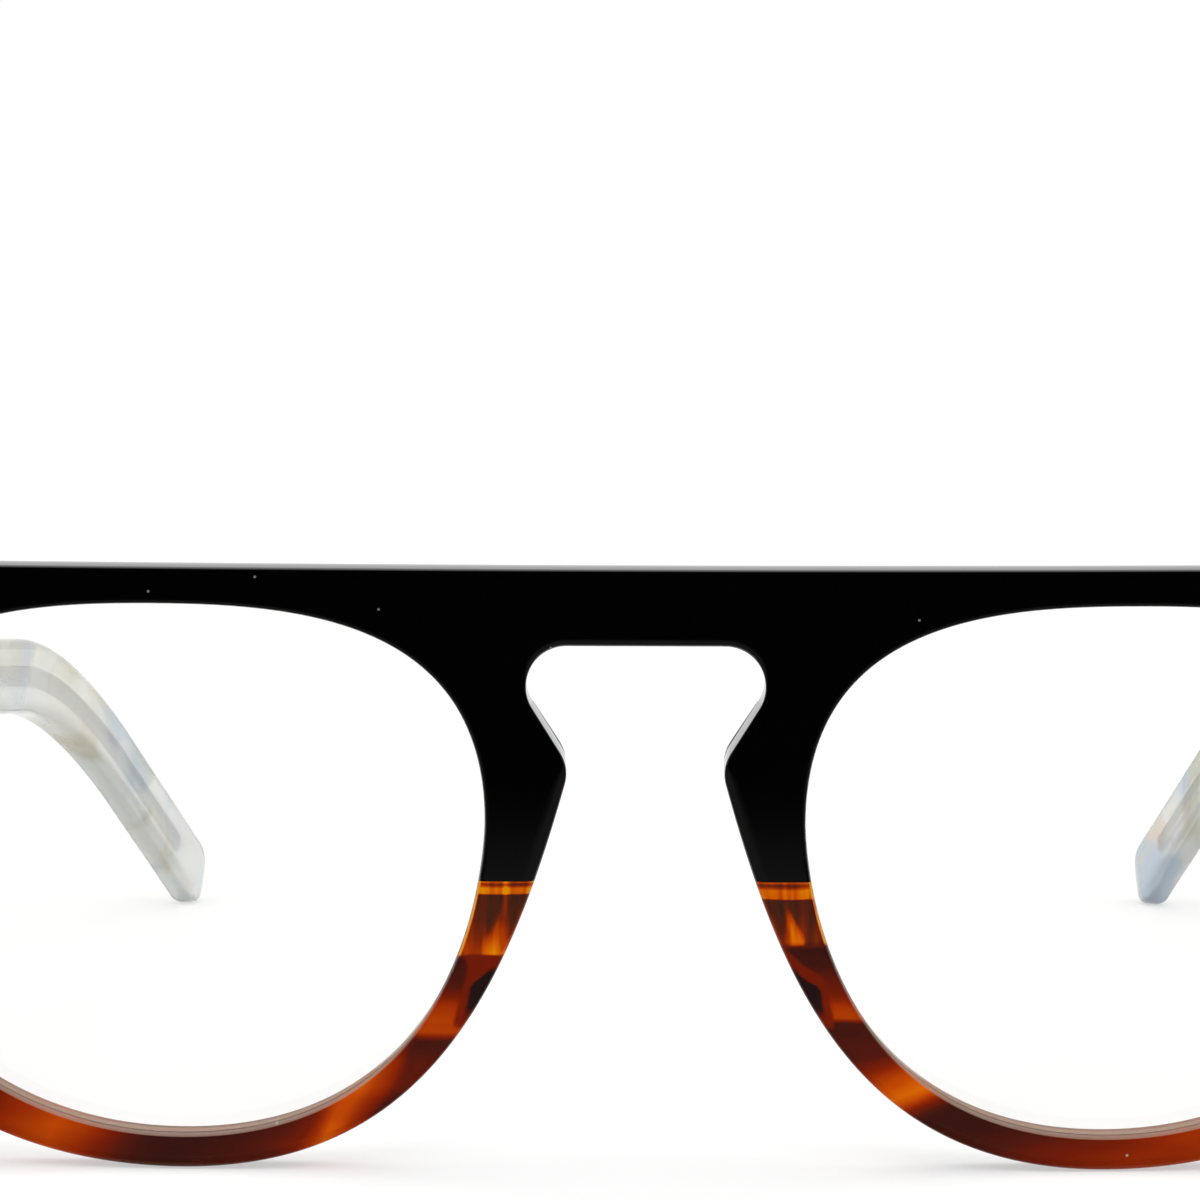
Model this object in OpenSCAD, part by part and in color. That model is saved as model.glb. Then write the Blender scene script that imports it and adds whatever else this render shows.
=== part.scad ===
// Two-tone eyeglasses: a straight black brow with a keyhole bridge, laminated to
// tortoise lower rims, clear lenses in grooves, and two folding temples.
// The front faces -Y, the temples run back towards +Y, and +Z is up.
// The glasses stand on their lower rims and temple tips at Z = 0.
// The front is drawn flat first: X across, depth backwards, height up the front.

/* [Lenses] */
// Width of one lens, edge to edge
lens_width = 48; // [46:0.5:50]
// Height of one lens, edge to edge
lens_height = 39.9; // [38.5:0.1:41]
// Thickness of a lens
lens_thickness = 2; // [1.6:0.1:2.4]
// Radius of the lens curve, through the middle of the lens
lens_radius = 160; // [140:5:200]
// Depth of the groove that holds a lens
groove_depth = 0.5; // [0.4:0.05:0.7]
// Width of the groove that holds a lens
groove_width = 0.9; // [0.7:0.05:1.2]
// Gap between a lens and the acetate around it
lens_clearance = 0.05; // [0.03:0.01:0.1]
// How far the lowest point of a lens lies towards the nose from its middle
lens_droop = 1.4; // [0:0.1:3]
// Height of the widest part of a lens above its lowest point
lens_waist = 23.75; // [21:0.25:25]

/* [Front] */
// Distance between the two lenses
bridge_width = 22; // [20:0.5:24]
// How far an endpiece reaches beyond its lens
endpiece_reach = 11; // [9.5:0.25:13]
// Thickness of the front
front_thickness = 4; // [3.6:0.1:4.4]
// Acetate above a lens opening
brow_height = 2.7; // [2:0.1:3.5]
// Acetate below a lens opening
lower_rim_height = 2.45; // [2:0.05:3.2]
// Acetate beside a lens opening, below the endpiece
side_rim_width = 3.4; // [2.8:0.1:4]
// Height of the seam between black and tortoise acetate
seam_height = 21.4; // [18:0.2:23]
// Height of an endpiece
endpiece_height = 15.25; // [14.5:0.05:16]
// Forward lean of the front, in degrees
front_lean = 4; // [2:0.5:6]
// Radius of the slight bow of the front
front_radius = 800; // [600:50:1200]

/* [Keyhole bridge] */
// Acetate above the keyhole
bridge_height = 5.6; // [4.7:0.1:7]
// Acetate between a lens opening and the widest part of the keyhole
keyhole_rim_width = 2.95; // [2.5:0.05:3.7]
// Radius of the keyhole's upper corners
keyhole_radius = 2.9; // [2.4:0.1:3.4]
// Acetate between a lens opening and the narrowest part of the nose opening
nose_rim_width = 5.85; // [5.2:0.05:6.3]
// Distance from the top of the keyhole down to the narrowest part
keyhole_height = 9.25; // [8.8:0.05:10]
// Radius of the rim where the nose opening is narrowest
nose_gap_radius = 3.05; // [2.2:0.05:3.3]
// Angle of the nose line to the vertical where it starts, in degrees
nose_angle = 15.5; // [12:0.5:19]

/* [Nose pads] */
// How far a nose pad stands out behind the front
pad_depth = 5; // [3:0.25:6.5]
// Height of a nose pad from its lower to its upper end
pad_length = 19; // [15:0.5:20]
// How far a nose pad reaches above the narrowest part of the nose opening
pad_rise = 1.8; // [0:0.1:2.6]
// Distance from a pad to the edges of the rim that carries it
pad_margin = 0.3; // [0.2:0.05:0.6]

/* [Hinges] */
// How far the middle of a hinge lies below the top of the front
hinge_drop = 8.85; // [8.3:0.05:9.5]
// Diameter of a hinge knuckle
knuckle_diameter = 3.5; // [3:0.1:3.8]
// Height of one of the five knuckles
knuckle_height = 1.3; // [1.1:0.05:1.45]
// Diameter of the screw's shank
screw_diameter = 1.4; // [1.2:0.1:1.6]
// Gap all round the screw in the knuckles that turn on it
running_clearance = 0.03; // [0.02:0.01:0.06]
// Gap between neighbouring knuckles
knuckle_gap = 0.03; // [0.02:0.01:0.06]
// Diameter of a screw's head
screw_head_diameter = 2.5; // [2.1:0.1:2.9]
// Thickness of a hinge leaf
leaf_thickness = 1; // [0.8:0.1:1.2]
// Height of a hinge leaf
leaf_height = 7.2; // [6.8:0.1:8]
// How far a leaf stands proud of the acetate
leaf_proud = 0.1; // [0:0.05:0.2]
// Reach of the front's leaf from the screw towards the nose
front_leaf_reach = 4.6; // [4.2:0.1:4.8]
// Reach of the temple's leaf from the screw along the temple
temple_leaf_reach = 7.6; // [6.5:0.1:9]
// Diameter of a rivet's shank
rivet_diameter = 1.2; // [1:0.1:1.4]
// Diameter of a rivet's head
rivet_head_diameter = 2; // [1.8:0.1:2.2]
// Distance between the two rivets of a leaf
rivet_spacing = 4.6; // [4.4:0.1:4.8]
// Depth of a rivet in the acetate
rivet_depth = 1.8; // [1.2:0.1:2]

/* [Temples] */
// Length of a temple along its middle, from the hinge to the tip
temple_length = 145; // [135:1:150]
// Thickness of a temple at the hinge
temple_thickness = 4; // [3.6:0.1:4.4]
// Thickness of a temple at the tip
tip_thickness = 3; // [2.6:0.1:4]
// Height of a temple at the hinge
butt_height = 12.4; // [11:0.1:12.6]
// Height of a temple at the start of its bend
shaft_height = 6.8; // [6:0.1:9]
// Height of a temple near its tip
tip_height = 6.6; // [6:0.1:10]
// Length over which a temple narrows behind the hinge
taper_length = 40; // [30:1:60]
// Distance from the hinge to the start of the bend
bend_start = 90; // [80:1:94]
// Radius of the bend over the ear
bend_radius = 55; // [40:1:60]
// How far the bend turns down, in degrees
bend_down = 33; // [26:1:35]
// How far the bend turns in, in degrees
bend_in = 13; // [4:1:14]
// Inward angle of a temple's straight part, in degrees
toe_in = 3.8; // [3:0.1:6]
// How far the left temple stands folded in at rest, in degrees
left_turn = 3.3; // [0:0.1:5]
// Height of the flat wire inside a temple
core_width = 1.6; // [1.2:0.1:1.8]
// Thickness of the flat wire inside a temple
core_thickness = 1.2; // [0.8:0.1:1.4]
// Distance from a temple's tip to the end of its wire
core_end_distance = 8; // [6:0.5:15]

/* [Hidden] */

left = -1;
right = 1;
$fn = 48;
large_fn = 256;
lens_fn = 160;
far = 400;
seat_clearance = 0.02;
joint_gap = 0.05;

black_acetate = [0.02, 0.02, 0.02];
tortoise_acetate = [0.55, 0.22, 0.05];
temple_acetate = [0.45, 0.5, 0.5];
hinge_metal = [0.75, 0.74, 0.72];
core_metal = [0.62, 0.62, 0.64];
clear_lens = [0.95, 0.97, 0.95, 0.35];

// Curves and arcs, as lists of points

function bezier(p0, p1, p2, p3, steps) = [
    for (i = [0 : steps - 1])
        let (t = i / steps, u = 1 - t)
        u * u * u * p0 + 3 * u * u * t * p1 + 3 * u * t * t * p2 + t * t * t * p3
];

function arc(centre, radius, from, to, steps) = [
    for (i = [0 : steps])
        let (a = from + (to - from) * i / steps)
        centre + radius * [cos(a), sin(a)]
];

function mirrored(points) = [
    for (i = [len(points) - 1 : -1 : 0])
        [-points[i].x, points[i].y]
];

// Moves each point of an outline that runs anticlockwise outwards by a distance
function grown(points, distance) =
    let (n = len(points))
    [
        for (i = [0 : n - 1])
            let (
                along = points[(i + 1) % n] - points[(i + n - 1) % n],
                out = [along.y, -along.x] / norm(along)
            )
            points[i] + distance * out
    ];

function smooth_step(t) =
    let (c = min(max(t, 0), 1))
    c * c * (3 - 2 * c);

function blend(a, b, t) = a + (b - a) * smooth_step(t);

// Outline of a lens opening, on the right

opening_in = bridge_width / 2 + groove_depth;
opening_out = bridge_width / 2 + lens_width - groove_depth;
opening_bottom = lower_rim_height;
opening_top = opening_bottom + lens_height - 2 * groove_depth;
opening_middle = (opening_in + opening_out) / 2;
lowest_x = opening_middle - lens_droop;
waist_height = opening_bottom + lens_waist - groove_depth;
front_height = opening_top + brow_height;

// How far each curve keeps its first direction, as a share of its own reach
upper_side_hold = 0.95;
upper_top_hold = 0.42;
lower_side_hold = 0.45;
lower_bottom_reach = 0.34 * lens_width;
// Towards the nose the lower curve leaves the side sooner and comes in flatter
nose_side_hold = 0.1;
nose_bottom_reach = 0.44 * lens_width;
curve_steps = 16;

in_point = [opening_in, waist_height];
top_point = [opening_middle, opening_top];
out_point = [opening_out, waist_height];
low_point = [lowest_x, opening_bottom];
upper_rise = [0, (opening_top - waist_height) * upper_side_hold];
upper_run = [(opening_out - opening_in) / 2 * upper_top_hold, 0];
lower_drop = [0, (waist_height - opening_bottom) * lower_side_hold];
lower_run = [lower_bottom_reach, 0];
nose_drop = [0, (waist_height - opening_bottom) * nose_side_hold];
nose_run = [nose_bottom_reach, 0];

opening_in_lower = bezier(
    in_point, in_point - nose_drop, low_point - nose_run, low_point, curve_steps
);
opening_outline = concat(
    opening_in_lower,
    bezier(low_point, low_point + lower_run, out_point - lower_drop, out_point, curve_steps),
    bezier(out_point, out_point + upper_rise, top_point + upper_run, top_point, curve_steps),
    bezier(top_point, top_point - upper_run, in_point + upper_rise, in_point, curve_steps)
);

// Outline of the right half of the front, from the top of the keyhole round to the brow

keyhole_top = front_height - bridge_height;
keyhole_width = 2 * (opening_in - keyhole_rim_width);
nose_gap = 2 * (opening_in - nose_rim_width);
nose_gap_height = keyhole_top - keyhole_height;
keyhole_corner = [keyhole_width / 2 - keyhole_radius, keyhole_top - keyhole_radius];
gap_corner = [nose_gap / 2 + nose_gap_radius, nose_gap_height];
corner_step = gap_corner - keyhole_corner;
// Direction of the straight flank that touches both corners
flank = atan2(corner_step.y, corner_step.x)
    - asin((keyhole_radius + nose_gap_radius) / norm(corner_step));

rim_bottom = [lowest_x, 0];
nose_hold = 0.528 * nose_gap_height;
rim_bottom_hold = 0.374 * lens_width;
nose_start = gap_corner + nose_gap_radius * [-cos(nose_angle), -sin(nose_angle)];
nose_line = bezier(
    nose_start,
    nose_start + nose_hold * [sin(nose_angle), -cos(nose_angle)],
    rim_bottom - [rim_bottom_hold, 0],
    rim_bottom,
    24
);

side_x = opening_out + side_rim_width;
edge_x = bridge_width / 2 + lens_width + endpiece_reach;
endpiece_bottom = front_height - endpiece_height;
armpit_radius = 4;
lower_corner_radius = 2;
upper_corner_radius = 3;
side_top = [side_x, endpiece_bottom - armpit_radius];
side_hold = 0.53 * side_top.y;

half_outline = concat(
    arc(keyhole_corner, keyhole_radius, 90, flank + 90, 10),
    arc(gap_corner, nose_gap_radius, flank + 270, 180 + nose_angle, 6),
    [for (i = [1 : len(nose_line) - 1]) nose_line[i]],
    bezier(rim_bottom, rim_bottom + [rim_bottom_hold, 0], side_top - [0, side_hold], side_top, 20),
    arc(side_top + [armpit_radius, 0], armpit_radius, 180, 90, 6),
    arc(
        [edge_x - lower_corner_radius, endpiece_bottom + lower_corner_radius],
        lower_corner_radius, -90, 0, 5
    ),
    arc(
        [edge_x - upper_corner_radius, front_height - upper_corner_radius],
        upper_corner_radius, 0, 90, 6
    )
);

// Placing the hinges: X' outwards and Y' along the temple, from the screw's axis

knuckle_radius = knuckle_diameter / 2;
knuckle_room = 0.4;
leaf_offset = knuckle_radius + knuckle_room;
temple_face = leaf_offset + leaf_proud;
hinge_height = front_height - hinge_drop;
hinge_x = edge_x - (temple_face + temple_thickness) * cos(toe_in);
function bow(x) = front_radius - sqrt(front_radius * front_radius - x * x);
back_at_hinge = bow(hinge_x) + front_thickness / cos(front_lean)
    - hinge_height * tan(front_lean);
hinge_y = back_at_hinge + temple_face;
barrel_height = 5 * knuckle_height;
barrel_bottom = hinge_height - barrel_height / 2;

// Path of a temple along its middle: straight, bent over the ear, straight again

along_shaft = [0, 1, 0];
along_tip = [-sin(bend_in) * cos(bend_down), cos(bend_in) * cos(bend_down), -sin(bend_down)];
bend_angle = acos(along_shaft * along_tip);
bend_towards = (along_tip - cos(bend_angle) * along_shaft) / sin(bend_angle);
bend_length = bend_radius * bend_angle * PI / 180;
bend_end = bend_start + bend_length;
tip_radius = tip_height / 2;
round_start = temple_length - tip_radius;

function bend_turn(s) = min(max(s - bend_start, 0), bend_length) / bend_radius * 180 / PI;
// The path in the plane of its bend, as lengths along the shaft and towards the bend
function flat_point(s) =
    let (turn = bend_turn(s), rest = max(s - bend_end, 0))
    [
        min(s, bend_start) + bend_radius * sin(turn) + rest * cos(bend_angle),
        bend_radius * (1 - cos(turn)) + rest * sin(bend_angle)
    ];
function path_point(s) =
    flat_point(s).x * along_shaft + flat_point(s).y * bend_towards;
function path_direction(s) =
    cos(bend_turn(s)) * along_shaft + sin(bend_turn(s)) * bend_towards;
function path_out(s) =
    let (d = path_direction(s), side = [1, 0, 0] - d.x * d)
    side / norm(side);

// The temple slopes so that its rounded tip just reaches the table
tip_centre = path_point(round_start);
tip_upright = tip_radius * sqrt(1 - pow(path_out(round_start).z, 2));
tip_distance = norm([tip_centre.y, tip_centre.z]);
temple_slope = asin((hinge_height - tip_upright) / tip_distance)
    - atan2(-tip_centre.z, tip_centre.y);

// Half height and half thickness of a temple along its path
function rounding(s) =
    s < round_start ? 1 : sqrt(max(0, 1 - pow((s - round_start) / tip_radius, 2)));
function half_height(s) = rounding(s) / 2 * (
    s < taper_length
        ? blend(butt_height, shaft_height, s / taper_length)
        : blend(shaft_height, tip_height, (s - bend_start) / (round_start - bend_start))
);
function half_thickness(s) =
    rounding(s) / 2 * blend(temple_thickness, tip_thickness, (s - taper_length) / bend_start);

// The origin lies on the table, midway between the brow's edge and the tips
front_reach = front_height * sin(front_lean);
tip_reach_y = hinge_y
    + (tip_centre.y * cos(temple_slope) + tip_centre.z * sin(temple_slope)) * cos(toe_in)
    + (temple_face + temple_thickness / 2 + tip_centre.x) * sin(toe_in)
    + tip_radius;
origin_y = (tip_reach_y - front_reach) / 2;

// Frames of reference

module on_table() {
    translate([0, -origin_y, 0])
        children();
}

module on_side(side) {
    if (side == left)
        mirror([1, 0, 0]) children();
    else
        children();
}

module leaning() {
    on_table()
        rotate([front_lean, 0, 0])
            children();
}

module at_hinge() {
    on_table()
        translate([hinge_x, hinge_y, 0])
            rotate([0, 0, toe_in])
                children();
}

// The frame of a hinge, turned with its temple
module at_temple(side) {
    at_hinge()
        rotate([0, 0, side == left ? left_turn : 0])
            children();
}

module along_temple() {
    translate([temple_face + temple_thickness / 2, 0, hinge_height])
        rotate([-temple_slope, 0, 0])
            children();
}

// Building blocks of the front

// A flat shape of the front, drawn backwards through a range of depths
module through_front(from, to) {
    translate([0, to, 0])
        rotate([90, 0, 0])
            linear_extrude(to - from)
                children();
}

// All that lies further back than a curved face at this depth
module behind_face(depth) {
    translate([0, front_radius, -front_height / 2])
        cylinder(h = 2 * front_height, r = front_radius - depth, $fn = large_fn);
}

module front_outline() {
    polygon(concat(half_outline, mirrored(half_outline)));
}

module opening(side, growth) {
    on_side(side)
        polygon(grown(opening_outline, growth));
}

module above_seam() {
    translate([-far / 2, seam_height])
        square([far, far]);
}

module below_seam(side) {
    on_side(side)
        translate([0, seam_height - far])
            square([far, far]);
}

// A layer of a sphere at the lens curve, this thick
lens_x = opening_middle * (1 - lens_radius / front_radius);
lens_z = (opening_top + opening_bottom) / 2;
function fall(x, z) =
    (x * x / front_radius - (pow(x - lens_x, 2) + pow(z - lens_z, 2)) / lens_radius) / 2;
lens_depth = front_thickness / 2
    + (fall(opening_in, lens_z) + fall(opening_middle, opening_top)) / 2;

module lens_layer(thickness) {
    translate([lens_x, lens_depth + lens_radius, lens_z])
        difference() {
            sphere(r = lens_radius + thickness / 2, $fn = lens_fn);
            sphere(r = lens_radius - thickness / 2, $fn = lens_fn);
        }
}

module lens_shape(growth, thickness) {
    intersection() {
        through_front(-front_thickness, 3 * front_thickness)
            polygon(grown(opening_outline, growth));
        lens_layer(thickness);
    }
}

module groove(side) {
    on_side(side)
        lens_shape(groove_depth, groove_width);
}

// The front's sheet, without its openings and grooves, over a flat region
module sheet() {
    difference() {
        intersection() {
            through_front(0, 4 * front_thickness)
                children();
            behind_face(0);
        }
        behind_face(front_thickness);
    }
}

// Building blocks of the hinges

module round_rectangle(size, radius) {
    translate([radius, 0])
        square([size.x - 2 * radius, size.y]);
    translate([0, radius])
        square([size.x, size.y - 2 * radius]);
    for (x = [radius, size.x - radius], y = [radius, size.y - radius])
        translate([x, y])
            circle(radius);
}

leaf_corner = 0.8;
leaf_inset = 0.4;
web_overlap = 0.4;
front_rivet_margin = 0.3;
temple_rivet_margin = 0.6;
front_leaf_end = knuckle_radius - leaf_inset;
front_rivet_x = -front_leaf_reach + rivet_head_diameter / 2 + front_rivet_margin;
temple_rivet_y = temple_leaf_reach - rivet_head_diameter / 2 - temple_rivet_margin;
rivet_head_height = 0.35;
rivet_heights = [hinge_height - rivet_spacing / 2, hinge_height + rivet_spacing / 2];

// The front's leaf or its pocket, grown at its edges by a clearance
module front_leaf(clearance, height_over) {
    size = [front_leaf_reach + front_leaf_end + 2 * clearance, leaf_height + 2 * clearance];
    translate([-front_leaf_reach - clearance, -leaf_offset + height_over,
               hinge_height - size.y / 2])
        rotate([90, 0, 0])
            linear_extrude(leaf_thickness + height_over)
                round_rectangle(size, leaf_corner);
}

module temple_leaf(clearance, height_over) {
    size = [temple_leaf_reach - leaf_inset + 2 * clearance, leaf_height + 2 * clearance];
    translate([leaf_offset - height_over, leaf_inset - clearance,
               hinge_height - size.y / 2])
        rotate([90, 0, 90])
            linear_extrude(leaf_thickness + height_over)
                round_rectangle(size, leaf_corner);
}

// Turns a rivet that points along +Z into place in the front or in the temple
module at_front_rivets() {
    for (z = rivet_heights)
        translate([front_rivet_x, -leaf_offset, z])
            rotate([90, 0, 0])
                children();
}

module at_temple_rivets() {
    for (z = rivet_heights)
        translate([leaf_offset, temple_rivet_y, z])
            rotate([0, 90, 0])
                children();
}

module rivet_hole() {
    translate([0, 0, -leaf_thickness])
        cylinder(
            h = 2 * leaf_thickness + rivet_depth + seat_clearance,
            d = rivet_diameter + 2 * seat_clearance
        );
}

// A domed head on the leaf and a shank that ends in the acetate
module rivet() {
    head_radius = rivet_head_diameter / 2;
    dome_radius = (head_radius * head_radius + rivet_head_height * rivet_head_height)
        / (2 * rivet_head_height);
    cylinder(h = leaf_thickness + rivet_depth, d = rivet_diameter);
    intersection() {
        translate([0, 0, dome_radius - rivet_head_height])
            sphere(r = dome_radius);
        translate([0, 0, -rivet_head_height])
            cylinder(h = rivet_head_height, d = rivet_head_diameter);
    }
}

// One knuckle with the web that joins it to its leaf, the web reaching to a corner
module knuckle(index, gap, web_from, web_to) {
    translate([0, 0, barrel_bottom + index * knuckle_height + gap]) {
        cylinder(h = knuckle_height - 2 * gap, d = knuckle_diameter);
        translate(web_from)
            cube([web_to.x - web_from.x, web_to.y - web_from.y, knuckle_height - 2 * gap]);
    }
}

module screw_bore(from, clearance) {
    translate([0, 0, from])
        cylinder(h = barrel_bottom + barrel_height + 1 - from, d = screw_diameter + 2 * clearance);
}

// The front: black brow with both endpieces

module endpiece_block() {
    intersection() {
        leaning()
            intersection() {
                through_front(0, 6 * front_thickness)
                    front_outline();
                behind_face(0);
            }
        at_hinge()
            translate([temple_face + knuckle_room, -far / 2, 0])
                cube([far / 4, far / 2, 2 * front_height]);
    }
}

module behind_joint() {
    at_hinge()
        translate([-far / 8, 0, 0])
            cube([far / 4, far / 4, 2 * front_height]);
}

module front_upper() {
    color(black_acetate)
        difference() {
            union() {
                leaning()
                    sheet()
                        intersection() {
                            difference() {
                                front_outline();
                                opening(left, 0);
                                opening(right, 0);
                            }
                            above_seam();
                        }
                for (side = [left, right])
                    on_side(side)
                        difference() {
                            endpiece_block();
                            behind_joint();
                        }
            }
            for (side = [left, right]) {
                leaning()
                    groove(side);
                on_side(side)
                    at_hinge() {
                        front_leaf(seat_clearance, leaf_offset);
                        at_front_rivets()
                            rivet_hole();
                    }
            }
        }
}

module lower_rim(side) {
    color(tortoise_acetate)
        leaning()
            difference() {
                sheet()
                    intersection() {
                        difference() {
                            front_outline();
                            opening(side, 0);
                        }
                        below_seam(side);
                    }
                groove(side);
            }
}

module lens(side) {
    color(clear_lens)
        leaning()
            on_side(side) {
                lens_shape(-lens_clearance, lens_thickness);
                lens_shape(groove_depth - lens_clearance, groove_width - 2 * lens_clearance);
            }
}

// Nose pads: a rounded fin on the back of each inner rim, leaning away from the nose

pad_top = nose_gap_height + pad_rise;
pad_bottom = pad_top - pad_length;
pad_rows = 18;
pad_columns = 14;
pad_skew = 0.25;
pad_end_share = 0.02;
pad_peak = 1.15;
pad_roundness = 0.8;
function back_depth(x) = front_radius - sqrt(pow(front_radius - front_thickness, 2) - x * x);
nose_heights = [for (p = half_outline) if (p.x < lowest_x && p.y < keyhole_corner.y) [p.y, p.x]];
opening_heights = concat(
    [for (p = opening_in_lower) [p.y, p.x]],
    [for (i = [3 * curve_steps : 4 * curve_steps - 1])
        [opening_outline[i].y, opening_outline[i].x]]
);

function pad_section(height) =
    let (
        inner = lookup(height, nose_heights) + pad_margin,
        outer = lookup(height, opening_heights) - pad_margin,
        middle = (inner + outer) / 2,
        half = (outer - inner) / 2,
        share = (height - pad_bottom) / (pad_top - pad_bottom),
        rise = pad_depth * pow(sin(180 * pow(share, pad_peak)), pad_roundness)
    )
    [
        for (i = [0 : pad_columns])
            let (
                a = 180 * i / pad_columns,
                x = middle - half * cos(a) + 2 * half * pad_skew * sin(a)
            )
            [x, back_depth(x) + rise * pow(sin(a), pad_roundness), height]
    ];

// Joins rings of points into a closed skin. Seen along the skin, from the first ring
// to the last, the points of a ring run anticlockwise.
module skin(rings) {
    n = len(rings[0]);
    last = len(rings) - 1;
    polyhedron(
        points = [for (ring = rings) each ring],
        faces = concat(
            [[for (i = [n - 1 : -1 : 0]) i]],
            [
                for (k = [0 : last - 1], i = [0 : n - 1])
                    let (a = k * n + i, b = k * n + (i + 1) % n)
                    each [[a, b + n, a + n], [a, b, b + n]]
            ],
            [[for (i = [0 : n - 1]) last * n + i]]
        )
    );
}

module nose_pad(side) {
    color(black_acetate)
        leaning()
            on_side(side)
                skin([
                    for (i = [0 : pad_rows])
                        let (share = pad_end_share + (1 - 2 * pad_end_share) * i / pad_rows)
                        pad_section(pad_bottom + (pad_top - pad_bottom) * share)
                ]);
}

// Hinges, rivets and screws

module front_hinge(side) {
    color(hinge_metal)
        on_side(side)
            at_hinge()
                difference() {
                    union() {
                        front_leaf(0, 0);
                        for (index = [0, 2, 4])
                            knuckle(index, 0, [-knuckle_radius, -leaf_offset], [web_overlap, 0]);
                    }
                    screw_bore(barrel_bottom - 1, 0);
                    at_front_rivets()
                        rivet_hole();
                }
}

module temple_hinge(side) {
    color(hinge_metal)
        on_side(side)
            at_temple(side)
                difference() {
                    union() {
                        temple_leaf(0, 0);
                        for (index = [1, 3])
                            knuckle(index, knuckle_gap, [0, 0], [leaf_offset, knuckle_radius]);
                    }
                    screw_bore(barrel_bottom - 1, running_clearance);
                    at_temple_rivets()
                        rivet_hole();
                }
}

module front_rivets(side) {
    color(hinge_metal)
        on_side(side)
            at_hinge()
                at_front_rivets()
                    rivet();
}

module temple_rivets(side) {
    color(hinge_metal)
        on_side(side)
            at_temple(side)
                at_temple_rivets()
                    rivet();
}

screw_head_height = 0.7;
screw_slot_width = 0.35;
screw_slot_depth = 0.35;
screw_end = 0.3;

module hinge_screw(side) {
    color(hinge_metal)
        on_side(side)
            at_hinge()
                translate([0, 0, barrel_bottom]) {
                    translate([0, 0, -screw_end])
                        cylinder(h = barrel_height + screw_end, d = screw_diameter);
                    translate([0, 0, barrel_height])
                        difference() {
                            cylinder(h = screw_head_height, d = screw_head_diameter);
                            translate([
                                -screw_head_diameter,
                                -screw_slot_width / 2,
                                screw_head_height - screw_slot_depth
                            ])
                                cube([2 * screw_head_diameter, screw_slot_width, screw_head_height]);
                        }
                }
}

// Temples

ring_points = 20;
ring_squareness = 4.5;

function signed_power(value, power) = sign(value) * pow(abs(value), power);

function temple_ring(s) =
    let (out = path_out(s), up = cross(out, path_direction(s)))
    [
        for (i = [0 : ring_points - 1])
            let (a = 360 * (i + 0.5) / ring_points)
            path_point(s)
            + half_thickness(s) * signed_power(cos(a), 2 / ring_squareness) * out
            + half_height(s) * signed_power(sin(a), 2 / ring_squareness) * up
    ];

// The temple's end is cut square to the hinge, just clear of the endpiece
function butt_ring() = [
    for (p = temple_ring(0))
        [p.x, (joint_gap - p.z * sin(temple_slope)) / cos(temple_slope), p.z]
];

shaft_rings = 9;
bend_rings = 10;
tip_rings = 3;
end_rings = 5;
last_end_angle = 85;
temple_stations = concat(
    [for (i = [1 : shaft_rings]) bend_start * i / shaft_rings],
    [for (i = [1 : bend_rings]) bend_start + bend_length * i / bend_rings],
    [for (i = [1 : tip_rings]) bend_end + (round_start - bend_end) * i / tip_rings],
    [for (i = [1 : end_rings]) round_start + tip_radius * sin(last_end_angle * i / end_rings)]
);

core_bend_steps = 12;

// The flat wire inside a temple, or its channel, from one distance to another
module core_shape(clearance, from, to) {
    across_bend = cross(along_shaft, bend_towards);
    half = core_width / 2 + clearance;
    stations = concat(
        [from],
        [for (i = [0 : core_bend_steps]) bend_start + bend_length * i / core_bend_steps],
        [to]
    );
    function edge(s, offset) =
        flat_point(s) + offset * [-sin(bend_turn(s)), cos(bend_turn(s))];
    multmatrix([
        for (row = [0 : 2])
            [along_shaft[row], bend_towards[row], across_bend[row], 0]
    ])
        linear_extrude(core_thickness + 2 * clearance, center = true)
            polygon(concat(
                [for (s = stations) edge(s, -half)],
                [for (i = [len(stations) - 1 : -1 : 0]) edge(stations[i], half)]
            ));
}

core_start = 1;
core_end = temple_length - core_end_distance;

module temple(side) {
    color(temple_acetate)
        on_side(side)
            at_temple(side)
                difference() {
                    along_temple()
                        skin(concat([butt_ring()], [for (s = temple_stations) temple_ring(s)]));
                    temple_leaf(seat_clearance, leaf_offset);
                    at_temple_rivets()
                        rivet_hole();
                    along_temple()
                        core_shape(seat_clearance, -core_start, core_end + seat_clearance);
                }
}

module temple_core(side) {
    color(core_metal)
        on_side(side)
            at_temple(side)
                along_temple()
                    core_shape(0, core_start, core_end);
}

front_upper();
lower_rim(left);  // lower_rim_left
lower_rim(right);  // lower_rim_right
lens(left);  // lens_left
lens(right);  // lens_right
nose_pad(left);  // nose_pad_left
nose_pad(right);  // nose_pad_right
front_hinge(left);  // front_hinge_left
front_hinge(right);  // front_hinge_right
front_rivets(left);  // front_rivets_left
front_rivets(right);  // front_rivets_right
hinge_screw(left);  // hinge_screw_left
hinge_screw(right);  // hinge_screw_right
temple(left);  // temple_left
temple(right);  // temple_right
temple_core(left);  // temple_core_left
temple_core(right);  // temple_core_right
temple_hinge(left);  // temple_hinge_left
temple_hinge(right);  // temple_hinge_right
temple_rivets(left);  // temple_rivets_left
temple_rivets(right);  // temple_rivets_right
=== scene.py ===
"""Looks of the two-tone eyeglasses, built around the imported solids.

The front is worked out in its own flat frame, in millimetres: x across, y backwards, z up the
front. It is then leaned and moved into the shared frame, in metres. Each temple is worked out
along its middle line.
"""

import math

import bmesh
import bpy
import numpy as np
from mathutils import Matrix, Vector
from mathutils.geometry import delaunay_2d_cdt


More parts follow.
